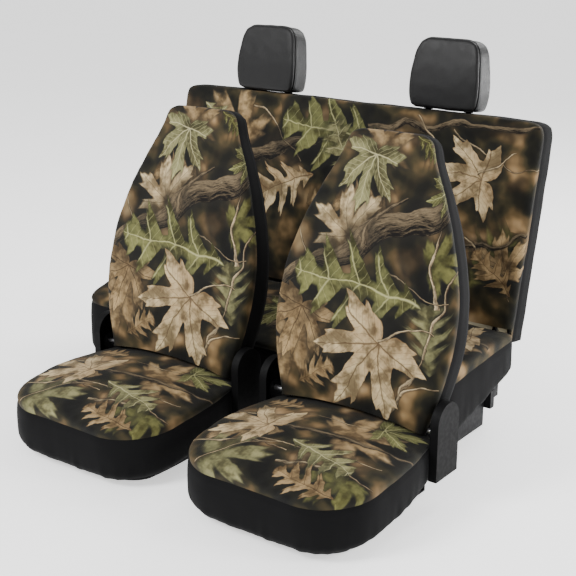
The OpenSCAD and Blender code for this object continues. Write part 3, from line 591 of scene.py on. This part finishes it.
BENCH_BACK_PRINT = [
    leaf("maple", -0.45, 0.50, 130, 0.20, TAN, FAINT),
    leaf("maple", 0.30, 0.20, 220, 0.19, TAN, FAINT),
    leaf("oak", 0.55, 0.12, 60, 0.24, MOSS, FAINT),
    leaf("oak", -0.12, 0.30, 20, 0.28, TAN, SOFT),
    leaf("maple", 0.66, 0.20, 100, 0.14, TAN, SOFT),
    limb(0.10, 0.60, 0.74, 0.655, 0.012, 0.008, 0.012),
    limb(-0.75, 0.30, -0.05, 0.56, 0.026, 0.018, 0.015),
    limb(0.36, 0.20, 0.74, 0.34, 0.010, 0.006, -0.01),
    twig(0.30, 0.66, 0.40, 0.44, 0.0034, 0.02),
    twig(0.44, 0.62, 0.74, 0.50, 0.0030, -0.02),
    twig(0.52, 0.28, 0.70, 0.10, 0.0030, 0.02),
    twig(-0.40, 0.64, -0.16, 0.45, 0.0032, 0.02),
    leaf("oak", 0.20, 0.53, 172, 0.46, GREEN, wide=0.9),
    leaf("oak", 0.06, 0.42, 120, 0.20, SAGE, SOFT),
    leaf("oak", -0.10, 0.42, 205, 0.30, PALE),
    leaf("maple", 0.555, 0.470, 172, 0.205, PALE, wide=0.8),
    twig(0.545, 0.475, 0.66, 0.56, 0.0032, 0.012),
    leaf("oak", 0.70, 0.12, 140, 0.19, TAN),
    leaf("oak", -0.62, 0.62, -40, 0.20, SAGE),
    leaf("maple", -0.58, 0.16, 250, 0.20, TAN),
    leaf("maple", 0.16, 0.12, 250, 0.19, GREEN),
]

BENCH_CUSHION_PRINT = [
    leaf("maple", -0.50, 0.30, 40, 0.20, TAN, FAINT),
    leaf("oak", 0.20, 0.30, 200, 0.26, MOSS, FAINT),
    leaf("maple", 0.60, 0.20, 120, 0.18, TAN, FAINT),
    limb(-0.74, 0.18, 0.10, 0.34, 0.018, 0.010, -0.03),
    limb(0.02, 0.10, 0.74, 0.30, 0.014, 0.008, 0.03),
    twig(-0.40, 0.06, -0.02, 0.30, 0.0030, 0.02),
    twig(0.24, 0.36, 0.66, 0.10, 0.0030, 0.03),
    leaf("maple", -0.30, 0.22, 160, 0.20, PALE),
    leaf("oak", 0.30, 0.14, 25, 0.24, SAGE),
    leaf("maple", 0.02, 0.24, 260, 0.17, GREEN),
    leaf("maple", 0.64, 0.34, 200, 0.17, PALE),
    leaf("oak", -0.66, 0.10, 30, 0.22, TAN),
]


def weave_normal(net, coords, scale, strength, distance):
    """A fine over-and-under weave, as bump."""
    x = net.math("SINE", net.times(net.split(coords)[0], scale))
    y = net.math("SINE", net.times(net.split(coords)[1], scale))
    bump = net.node("ShaderNodeBump")
    bump.inputs["Strength"].default_value = strength
    bump.inputs["Distance"].default_value = distance
    net.put(net.times(x, y), bump.inputs["Height"])
    return bump.outputs[0]


def principled(name):
    """A new material, its node builder and its shader."""
    material = bpy.data.materials.new(name)
    material.use_nodes = True
    net = Net(material.node_tree)
    return material, net, material.node_tree.nodes["Principled BSDF"]


def print_material(name, items, groups, seed):
    """Printed cloth: a blurred leaf-litter ground with the listed leaves and branches laid over it."""
    material, net, shader = principled(name)
    uv = net.node("ShaderNodeUVMap", uv_map=PRINT_UV).outputs[0]
    drift = net.noise(uv, 7.0, 1.0, colour=True)
    ragged = net.noise(uv, 42.0, 2.0, colour=True)

    def warped(v, by, amount):
        return net.vector("ADD", v, net.vector("SCALE", net.vector("SUBTRACT", by, (0.5, 0.5, 0.5)), scale=amount))

    leaf_uv = warped(warped(uv, drift, 0.05), ragged, 0.010)
    limb_uv = warped(warped(uv, drift, 0.10), ragged, 0.008)
    mottle = net.noise(uv, 60.0, 4.0, 0.65)
    grain = net.noise(net.vector("MULTIPLY", uv, (30.0, 160.0, 1.0)), 1.0, 3.0, 0.6)
    shifted = net.vector("ADD", uv, (seed * 1.7, seed * 2.3, 0.0))
    blobs = net.noise(shifted, 7.0, 2.5, 0.55)
    lit = net.step(net.noise(shifted, 15.0, 3.0, 0.6), 0.38, 0.58, 1.0, 0.0)
    colour = net.ramp(blobs, GROUND_TONES)
    greener = net.step(net.noise(shifted, 5.0, 1.0), 0.48, 0.60)
    colour = net.mix(net.times(greener, 0.6), colour, net.mix(0.35, colour, GROUND_GREEN, "OVERLAY"))
    pools = net.step(net.noise(net.vector("ADD", shifted, (5.0, 1.0, 0.0)), 6.0, 2.0), 0.46, 0.60)
    colour = net.mix(net.times(pools, 0.85), colour, SHADE)
    for item in items:
        if item[0] == "leaf":
            _, kind, x, y, angle, size, wide, (light, dark, vein), blur = item
            colour = net.group(groups[kind], Ground=colour, UV=leaf_uv, Mottle=mottle, Lit=lit, X=x, Y=y, Angle=angle,
                               Size=size, Wide=wide, Light=light, Dark=dark, Vein=vein, Blur=blur)
        else:
            _, x1, y1, x2, y2, r1, r2, bend, (light, dark), blur = item
            colour = net.group(groups["limb"], Ground=colour, UV=limb_uv, Mottle=grain, X1=x1, Y1=y1, X2=x2, Y2=y2,
                               R1=r1, R2=r2, Bend=bend, Light=light, Dark=dark, Blur=blur)
    net.put(net.mix(1.0, colour, INK_SHARE, "MULTIPLY"), shader.inputs["Base Color"])
    shader.inputs["Roughness"].default_value = 0.82
    shader.inputs["Sheen Weight"].default_value = 0.03
    shader.inputs["Sheen Roughness"].default_value = 0.5
    shader.inputs["Specular IOR Level"].default_value = 0.15
    net.put(weave_normal(net, uv, 2400.0, 0.25, 0.0004), shader.inputs["Normal"])
    return material


def cloth_material(name, colour, roughness, sheen, weave=2600.0):
    """Plain woven cloth, slightly uneven in colour; weave is in turns a metre."""
    material, net, shader = principled(name)
    place = net.node("ShaderNodeTexCoord").outputs["Object"]
    worn = net.noise(place, 9.0, 3.0)
    dark, light = (tuple(c * share for c in colour) for share in (0.75, 1.25))
    net.put(net.mix(worn, dark, light), shader.inputs["Base Color"])
    shader.inputs["Roughness"].default_value = roughness
    shader.inputs["Sheen Weight"].default_value = sheen
    shader.inputs["Sheen Roughness"].default_value = 0.4
    shader.inputs["Specular IOR Level"].default_value = 0.09
    parts = net.split(place)
    flat = net.join(net.add(parts[0], parts[1]), parts[2])
    net.put(weave_normal(net, flat, weave, 0.2, 0.0003), shader.inputs["Normal"])
    return material


def leather_material(name, colour):
    """Grained leatherette with uneven gloss."""
    material, net, shader = principled(name)
    place = net.node("ShaderNodeTexCoord").outputs["Object"]
    grain = net.node("ShaderNodeTexVoronoi", feature="DISTANCE_TO_EDGE")
    net.put(place, grain.inputs["Vector"])
    grain.inputs["Scale"].default_value = 520.0
    cells = net.step(grain.outputs["Distance"], 0.0, 0.18)
    bump = net.node("ShaderNodeBump")
    bump.inputs["Strength"].default_value = 0.35
    bump.inputs["Distance"].default_value = 0.0004
    net.put(net.add(cells, net.noise(place, 60.0, 3.0)), bump.inputs["Height"])
    net.put(bump.outputs[0], shader.inputs["Normal"])
    dark, light = (tuple(c * share for c in colour) for share in (0.8, 1.2))
    net.put(net.mix(net.noise(place, 14.0, 3.0), dark, light), shader.inputs["Base Color"])
    net.put(net.step(net.noise(place, 35.0, 2.0), 0.3, 0.7, 0.34, 0.44), shader.inputs["Roughness"])
    shader.inputs["Specular IOR Level"].default_value = 0.25
    return material


def hard_material(name, colour, metallic, rough_low, rough_high):
    """Plastic or metal with uneven gloss."""
    material, net, shader = principled(name)
    place = net.node("ShaderNodeTexCoord").outputs["Object"]
    shader.inputs["Base Color"].default_value = rgba(colour)
    shader.inputs["Metallic"].default_value = metallic
    shader.inputs["Specular IOR Level"].default_value = 0.5 if metallic > 0.9 else 0.1
    net.put(net.step(net.noise(place, 70.0, 3.0), 0.3, 0.7, rough_low, rough_high), shader.inputs["Roughness"])
    return material


groups = {"maple": maple_group(), "oak": oak_group(), "limb": branch_group()}
back_print = print_material("front back print", FRONT_BACK_PRINT, groups, 1.0)
cushion_print = print_material("front cushion print", FRONT_CUSHION_PRINT, groups, 2.0)
bench_print = print_material("bench back print", BENCH_BACK_PRINT, groups, 3.0)
bench_seat_print = print_material("bench cushion print", BENCH_CUSHION_PRINT, groups, 4.0)
black_cloth = cloth_material("black cloth", (0.0030, 0.0030, 0.0033), 0.8, 0.01)
hem_cloth = cloth_material("hem elastic", (0.006, 0.006, 0.0065), 0.9, 0.04)
webbing = cloth_material("webbing", (0.008, 0.008, 0.0085), 0.7, 0.04, 1200.0)
foam_look = cloth_material("seat foam", (0.30, 0.26, 0.17), 0.95, 0.0, 900.0)
leatherette = leather_material("black leatherette", (0.0025, 0.0025, 0.0027))
plastic = hard_material("black plastic", (0.002, 0.002, 0.0022), 0.0, 0.55, 0.66)
black_steel = hard_material("black steel", (0.010, 0.010, 0.011), 0.4, 0.45, 0.58)
zinc = hard_material("zinc steel", (0.5, 0.5, 0.51), 1.0, 0.3, 0.42)
chrome = hard_material("polished steel", (0.75, 0.75, 0.76), 1.0, 0.07, 0.14)

CAD_LOOKS = {"black_steel": black_steel, "steel": zinc, "chrome_steel": chrome, "black_plastic": plastic,
             "webbing": webbing}
slots = {s["node"]: s["material_slot"] for s in frame["record"]["subparts"]}
for node_name, obj in frame["nodes"].items():
    look = CAD_LOOKS.get(slots[node_name])
    if look:
        obj.data.materials.clear()
        obj.data.materials.append(look)

# ---------------------------------------------------------------- places, taken from the frame


def seat_origin(prefix, inset):
    """The row-frame point under the middle of a cushion's front edge."""
    low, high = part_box(prefix + "seat_pan")
    return np.array([(low[0] + high[0]) / 2, low[1] - inset, 0.0])


def lean_back(points, pivot, lean):
    """Backrest coordinates (across, through, up the back) to seat coordinates."""
    c, s = math.cos(lean), math.sin(lean)
    return np.stack([points[:, 0], pivot[0] + points[:, 1] * c + points[:, 2] * s,
                     pivot[1] - points[:, 1] * s + points[:, 2] * c], 1)


# ---------------------------------------------------------------- a backrest cover

def low_end(x, n, low, pivot, lean, depth, top_of):
    """How low a backrest reaches at x and n: down to its low end, or to some air above the cushion."""
    c, s = math.cos(lean), math.sin(lean)
    h = np.full(len(x), low)
    for _ in range(4):
        y = pivot[0] + n * c + h * s
        needed = (top_of(x, np.minimum(y, depth)) + CUSHION_AIR - pivot[1] + n * s) / c
        over = 1 - ease((y - depth - 0.004) / 0.010)
        h = np.maximum(low, low + (needed - low) * over)
    return h


def backrest(prefix, body, origin, pivot, lean, height, half_w, low, outline, face, rear, corner, prints, grid, seed,
             seat_depth, top_of):
    """The three panels of a backrest cover, with its lattice; face and rear say where it lies at a height share."""
    nx, ny, nz = grid
    cells, quads = block(nx, ny, nz)
    u, v, w = cells[:, 0] / nx, cells[:, 1] / ny, cells[:, 2] / nz
    start_n = face(0) + (rear(0) - face(0)) * v
    start = low_end((2 * u - 1) * half_w * outline[1][0], start_n, low, pivot, lean, seat_depth, top_of)
    h = start + (height - start) * w
    t = np.clip(h / height, outline[0][0], 1)
    half = half_w * smooth_curve(outline, np.minimum(t, 1 - corner / height))
    x = (2 * u - 1) * half
    wide = half_w * float(smooth_curve(outline, np.array([1 - corner / height]))[0])
    top_x, top_h = round_plan(x, h, wide, low, height, 1e-6, corner)
    x = np.where(h > height - corner, top_x, x)
    h = np.where(h > height - corner, top_h, h)
    t = np.clip(h / height, 0, 1)
    near, far = face(t), rear(t)
    n = near + (far - near) * v
    points = np.stack([x, n, h], 1)
    wrap = n - near
    on_side = (cells[:, 0] == 0) | (cells[:, 0] == nx)
    on_top = cells[:, 2] == nz
    uv = np.stack([x + np.where(on_side, np.sign(x) * wrap, 0), h + np.where(on_top & ~on_side, wrap, 0)], 1)
    bottom = cells[:, 2] == 0
    points = relax(points, quads, 26, keep_z=bottom)

    # the seams run along lattice rows
    thick = far.mean() - near.mean()
    front_row = max(1, round(SEAM_IN / thick * ny))
    rear_row = ny - max(1, round(REAR_SEAM_IN / thick * ny))
    normal = normals_of(points, quads)
    seam = np.maximum(near_seam(cells, 1, front_row, 2), near_seam(cells, 1, rear_row, 2))
    seam = np.where(cells[:, 1] > 0, seam, 0)
    seam[cells[:, 1] == ny] *= 0.3
    soft = wobble(points, 5.0, seed) * 0.004 + wobble(points, 14.0, seed + 1) * 0.0016
    edge_near = np.exp(-np.abs(half - np.abs(points[:, 0])) / 0.035) * (cells[:, 1] == 0)
    pucker = wobble(points, 42.0, seed + 2, (0.35, 1, 1)) * edge_near * 0.0016
    tuck = np.exp(-np.maximum(points[:, 2] - low, 0) / 0.05) * wobble(points, 26.0, seed + 3, (1, 1, 0.25)) * 0.003
    points += normal * (soft + pucker + tuck - seam * 0.0028)[:, None]

    world = lean_back(points, pivot, lean) + origin
    j = cells[quads][:, :, 1]
    front = quads[j.max(1) <= front_row]
    back = quads[j.min(1) >= rear_row]
    side = quads[(j.max(1) > front_row) & (j.min(1) < rear_row)]
    covers = [assign(make_piece(prefix + "back_print_cover", world, front, prints, uv), body, "printed_cloth",
                     prefix + "back_front_panel"),
              assign(make_piece(prefix + "back_gusset_cover", world, side, black_cloth), body, "black_cloth",
                     prefix + "back_side_gusset"),
              assign(make_piece(prefix + "back_rear_cover", world, back, black_cloth), body, "black_cloth",
                     prefix + "back_rear_panel")]
    return world, cells, quads, covers


# ---------------------------------------------------------------- a cushion cover

def between(ends, share):
    return ends[0] + (ends[1] - ends[0]) * share


def front_dome(x, y):
    """Rise of a front cushion above its seam plane."""
    return 0.062 - (x * x + (y - 0.215) ** 2) / 2.4


def bench_barrel(x, y):
    """Rise of the bench cushion above its seam plane, the same all along the bench."""
    return 0.045 - (y - BENCH_D / 2) ** 2 / 1.8


def front_top(x, y):
    return between(FRONT_SEAM, y / CUSHION_D) + front_dome(x, y)


def bench_top(x, y):
    return between(BENCH_SEAM, y / BENCH_D) + bench_barrel(x, y)


def bowed(y):
    """How much narrower a front cushion is at y than at its widest line."""
    return SIDE_BOW_R - np.sqrt(SIDE_BOW_R**2 - (y - SIDE_BOW_Y) ** 2)


def straight(y):
    """The bench cushion's sides don't bow."""
    return 0 * y


def cushion(prefix, origin, width, depth, seam_z, hem_z, corners, dome, bow, prints, grid, seed):
    """The printed top and black skirt of a cushion cover, with its lattice and the points of its open edge."""
    nx, ny, skirt_rows, wall_rows = grid
    nz = skirt_rows + wall_rows
    cells, quads = block(nx, ny, nz)
    u, v = cells[:, 0] / nx, cells[:, 1] / ny
    k = cells[:, 2]
    x, y = (2 * u - 1) * width / 2, v * depth
    x, y = round_plan(x, y, width / 2, 0, depth, *corners)
    x = x * (1 - bow(y) / (width / 2))
    hem, seam = between(hem_z, y / depth), between(seam_z, y / depth)
    skirt_share = np.minimum(k / skirt_rows, 1)
    rise = np.maximum(dome(x, y), 0.004)
    z = np.where(k <= skirt_rows, hem + (seam - hem) * skirt_share, seam + rise * (k - skirt_rows) / wall_rows)
    top = k == nz
    below = np.where(top, 0, seam + rise - z)
    at_side = (cells[:, 0] == 0) | (cells[:, 0] == nx)
    at_front, at_rear = cells[:, 1] == 0, cells[:, 1] == ny
    uv = np.stack([x + np.where(at_side, np.sign(x) * below, 0),
                   y - np.where(at_front, below, 0) + np.where(at_rear, below, 0)], 1)
    points = relax(np.stack([x, y, z], 1), quads, 16, keep_z=k == 0)
    normal = normals_of(points, quads)
    flat_normal = normal.copy()
    flat_normal[:, 2] = 0
    belly = np.where(~top & (k <= skirt_rows), np.sin(np.pi * skirt_share) * 0.005
                     - (1 - np.clip(k / 4, 0, 1)) ** 2 * 0.016, 0)
    groove = near_seam(cells, 2, skirt_rows, 2) * ~top * 0.003
    soft = wobble(points, 6.0, seed) * 0.003 + wobble(points, 17.0, seed + 1) * 0.0014
    near_hem = np.where(~top & (k < skirt_rows), (1 - skirt_share) ** 2, 0)
    gather = near_hem * wobble(points, 38.0, seed + 2, (1, 1, 0.2)) * 0.004
    rim = np.exp(-np.minimum(width / 2 - np.abs(points[:, 0]), np.minimum(points[:, 1], depth - points[:, 1])) / 0.03)
    pucker = wobble(points, 40.0, seed + 3) * rim * top * 0.0018
    # the rear wall doesn't bulge, so that the backrest passes it
    free = 1 - ease((points[:, 1] - depth + 0.09) / 0.05)
    belly = np.where(belly > 0, belly * free, belly)
    gather = np.where(free < 1, np.minimum(gather, 0), gather)
    points += flat_normal * (belly + gather)[:, None] + normal * (soft + pucker - groove)[:, None]
    world = points + origin
    in_skirt = k[quads].min(1) < skirt_rows
    covers = [assign(make_piece(prefix + "cushion_print_cover", world, quads[~in_skirt], prints, uv), "base",
                     "printed_cloth", prefix + "cushion_top_panel"),
              assign(make_piece(prefix + "cushion_skirt_cover", world, quads[in_skirt], black_cloth), "base",
                     "black_cloth", prefix + "cushion_skirt")]
    return world, cells, quads, covers


def loop_order(cells, chosen, a, b, na, nb):
    """Indices of a lattice rim in order round it."""
    index = {(c[a], c[b]): i for i, c in zip(np.flatnonzero(chosen), cells[chosen])}
    walk = ([(i, 0) for i in range(na)] + [(na, j) for j in range(nb)]
            + [(i, nb) for i in range(na, 0, -1)] + [(0, j) for j in range(nb, 0, -1)])
    return [index[p] for p in walk]


def inner_foam(name, body, points, quads, cells, node):
    """The foam inside a cover: the same form, drawn in, with its floor raised over the lowest eight rows."""
    inner = points - normals_of(points, quads) * 0.006
    inner[:, 2] += 0.022 * np.clip(1 - cells[:, 2] / 8, 0, 1)
    obj = make_piece(name, inner, quads, foam_look)
    shell = bmesh.new()
    shell.from_mesh(obj.data)
    bmesh.ops.holes_fill(shell, edges=[e for e in shell.edges if e.is_boundary], sides=0)
    shell.to_mesh(obj.data)
    shell.free()
    assign(obj, body, "foam", node)


def hem_band(name, body, rim, node, inward, lift, lean=0):
    """A gathered elastic casing, just inside a cover's open edge and a little up its lean."""
    along = np.roll(rim, -2, 0) - np.roll(rim, 2, 0)
    out = np.stack([along[:, 1], -along[:, 0], 0 * along[:, 0]], 1)
    out /= np.linalg.norm(out, axis=1, keepdims=True)
    path = rim - out * inward + np.array([0, math.sin(lean), math.cos(lean)]) * lift
    step = np.arange(len(rim))
    radii = HEM_RADIUS * (1 + 0.22 * np.sin(step * 2.1) * np.sin(step * 0.37))
    assign(ring_tube(name, path, radii, hem_cloth), body, "elastic", node)


def fill_back(prefix, body, lattice, grid, lean):
    """The hem elastic and foam of a backrest cover."""
    world, cells, quads = lattice
    rim = world[loop_order(cells, cells[:, 2] == 0, 0, 1, grid[0], grid[1])]
    hem_band(prefix + "back_hem_gather", body, rim, prefix + "back_hem_elastic", BACK_HEM_IN, BACK_HEM_LIFT, lean)
    inner_foam(prefix + "back_padding", body, world, quads, cells, prefix + "back_foam")


def fill_cushion(prefix, lattice, grid):
    """The hem elastic and foam of a cushion cover."""
    world, cells, quads = lattice
    rim = world[loop_order(cells, cells[:, 2] == 0, 0, 1, grid[0], grid[1])]
    hem_band(prefix + "cushion_hem_gather", "base", rim, prefix + "cushion_hem_elastic", CUSHION_HEM_IN,
             CUSHION_HEM_LIFT)
    inner_foam(prefix + "cushion_padding", "base", world, quads, cells, prefix + "cushion_foam")


BACK_GRID, CUSHION_GRID = (76, 14, 112), (84, 72, 20, 4)
BENCH_BACK_GRID, BENCH_GRID = (180, 15, 88), (180, 60, 22, 4)

for side_name in ("left", "right"):
    prefix = f"front_{side_name}_"
    origin = seat_origin(prefix, 0.062)
    *lattice, covers = backrest(
        prefix, prefix + "back", origin, PIVOT, FRONT_LEAN, BACK_H, BACK_HALF, BACK_LOW, FRONT_OUTLINE, front_face,
        front_rear, 0.052, back_print, BACK_GRID, FRONT_SEED, CUSHION_D, front_top)
    fill_back(prefix, prefix + "back", lattice, BACK_GRID, FRONT_LEAN)
    *lattice, covers = cushion(
        prefix, origin, CUSHION_W, CUSHION_D, FRONT_SEAM, FRONT_HEM, (0.150, 0.040), front_dome, bowed,
        cushion_print, CUSHION_GRID, FRONT_SEED + 10)
    fill_cushion(prefix, lattice, CUSHION_GRID)

origin = seat_origin("bench_", 0.070)
*lattice, covers = backrest(
    "bench_", "bench_back", origin, BENCH_PIVOT, BENCH_LEAN, BENCH_H, BENCH_HALF, BENCH_LOW, BENCH_OUTLINE,
    bench_face, bench_rear, 0.046, bench_print, BENCH_BACK_GRID, BENCH_SEED, BENCH_D, bench_top)
fill_back("bench_", "bench_back", lattice, BENCH_BACK_GRID, BENCH_LEAN)
*lattice, covers = cushion(
    "bench_", origin, BENCH_W, BENCH_D, BENCH_SEAM, BENCH_HEM, (0.070, 0.040), bench_barrel, straight,
    bench_seat_print, BENCH_GRID, BENCH_SEED + 16)
fill_cushion("bench_", lattice, BENCH_GRID)

# ---------------------------------------------------------------- headrests


def headrest(side_name, side, origin, seed):
    """A padded box in leatherette: its face, its sides and rear, and the piping between them."""
    prefix = f"headrest_{side_name}_"
    nx, ny, nz = 44, 22, 40
    cells, quads = block(nx, ny, nz, closed=True)
    u, v, w = cells[:, 0] / nx, cells[:, 1] / ny, cells[:, 2] / nz
    low = -0.004
    x, h = round_plan((2 * u - 1) * HEAD_W / 2, low + w * (HEAD_H - low), HEAD_W / 2, low, HEAD_H, 0.024, 0.054)
    x = x * (1 - 0.110 * ease((h - 0.07) / 0.15) - 0.05 * (1 - ease(h / 0.06)))
    bow = 0.010 * np.sin(np.pi * np.clip(h / HEAD_H, 0, 1))
    near = HEAD_SHIFT - HEAD_D / 2 + 0.012 - bow
    far = HEAD_SHIFT + HEAD_D / 2 - 0.012 * (h / HEAD_H)
    n = near + (far - near) * v
    points = relax(np.stack([x, n, h], 1), quads, 14)
    normal = normals_of(points, quads)
    seam_row = 4
    crease = near_seam(cells, 1, seam_row, 2) * (cells[:, 1] > 0)
    soft = wobble(points, 11.0, seed) * 0.0018 + wobble(points, 34.0, seed + 1) * 0.0007
    points += normal * (soft - crease * 0.003)[:, None]
    shifted = points + np.array([side * HEAD_PITCH / 2, POST_N, HEAD_LOW])
    world = lean_back(shifted, BENCH_PIVOT, BENCH_LEAN) + origin
    body = f"headrest_{side_name}"
    j = cells[quads][:, :, 1]
    front, rest = quads[j.max(1) <= seam_row], quads[j.max(1) > seam_row]
    cover = make_piece(prefix + "face_cover", world, front, leatherette)
    gusset = make_piece(prefix + "gusset_cover", world, rest, leatherette)
    ids = loop_order(cells, cells[:, 1] == seam_row, 0, 2, nx, nz)
    path = world[ids] + normals_of(world, quads)[ids] * 0.0022
    piping = ring_tube(prefix + "piping_cord", path, 0.0026, leatherette)
    for obj, nodes in ((cover, ["front_cover", "foam"]), (gusset, ["side_gusset"]), (piping, ["piping"])):
        assign(obj, body, "black_leatherette", *[prefix + n for n in nodes])


for side_name, side in (("left", -1), ("right", 1)):
    headrest(side_name, side, origin, HEAD_SEED + side)

# ---------------------------------------------------------------- studio


def stage_floor(half=40):
    """A pale floor that reaches the horizon."""
    material, net, shader = principled("pale floor")
    place = net.node("ShaderNodeTexCoord").outputs["Object"]
    net.put(net.mix(net.noise(place, 2.0, 2.0), (0.84, 0.84, 0.84), (0.88, 0.88, 0.88)), shader.inputs["Base Color"])
    shader.inputs["Roughness"].default_value = 0.9
    shader.inputs["Specular IOR Level"].default_value = 0.0
    shader.inputs["Emission Color"].default_value = (1, 1, 1, 1)
    shader.inputs["Emission Strength"].default_value = 0.9
    mesh = bpy.data.meshes.new("floor")
    mesh.from_pydata([(-half, -half, 0), (half, -half, 0), (half, half, 0), (-half, half, 0)], [], [(0, 1, 2, 3)])
    mesh.materials.append(material)
    obj = bpy.data.objects.new("floor", mesh)
    bpy.context.scene.collection.objects.link(obj)


def soft_light(name, place, target, size, power):
    lamp = bpy.data.lights.new(name, "AREA")
    lamp.shape, lamp.size, lamp.energy = "DISK", size, power
    obj = bpy.data.objects.new(name, lamp)
    obj.location = place
    obj.rotation_euler = (Vector(target) - Vector(place)).to_track_quat("-Z", "Y").to_euler()
    bpy.context.scene.collection.objects.link(obj)


stage_floor()
soft_light("key", (-1.6, -3.9, 3.9), (0, 0, 0.5), 2.2, 300)
soft_light("side", (4.2, 0.9, 2.2), (0, 0.4, 0.7), 1.6, 110)
soft_light("sheen", (2.3, 3.0, 1.1), (0.3, 0.6, 0.9), 1.0, 90)
soft_light("rear", (0.6, 3.8, 3.8), (0, 0, 0.7), 2.4, 150)

world_look = bpy.data.worlds.new("studio")
world_look.use_nodes = True
sky = world_look.node_tree.nodes["Background"].inputs
sky["Color"].default_value = (1, 1, 1, 1)
sky["Strength"].default_value = 0.9
bpy.context.scene.world = world_look

turn, pitch = math.radians(36.7), math.radians(17.6)
camera = bpy.data.cameras.new("camera")
camera.lens, camera.sensor_width = 75.0, 36.0
camera_object = bpy.data.objects.new("camera", camera)
look = Vector((-math.sin(turn) * math.cos(pitch), math.cos(turn) * math.cos(pitch), -math.sin(pitch)))
camera_object.location = (2.2455, -2.86915, 1.600)
camera_object.rotation_euler = look.to_track_quat("-Z", "Y").to_euler()
bpy.context.scene.collection.objects.link(camera_object)
bpy.context.scene.camera = camera_object
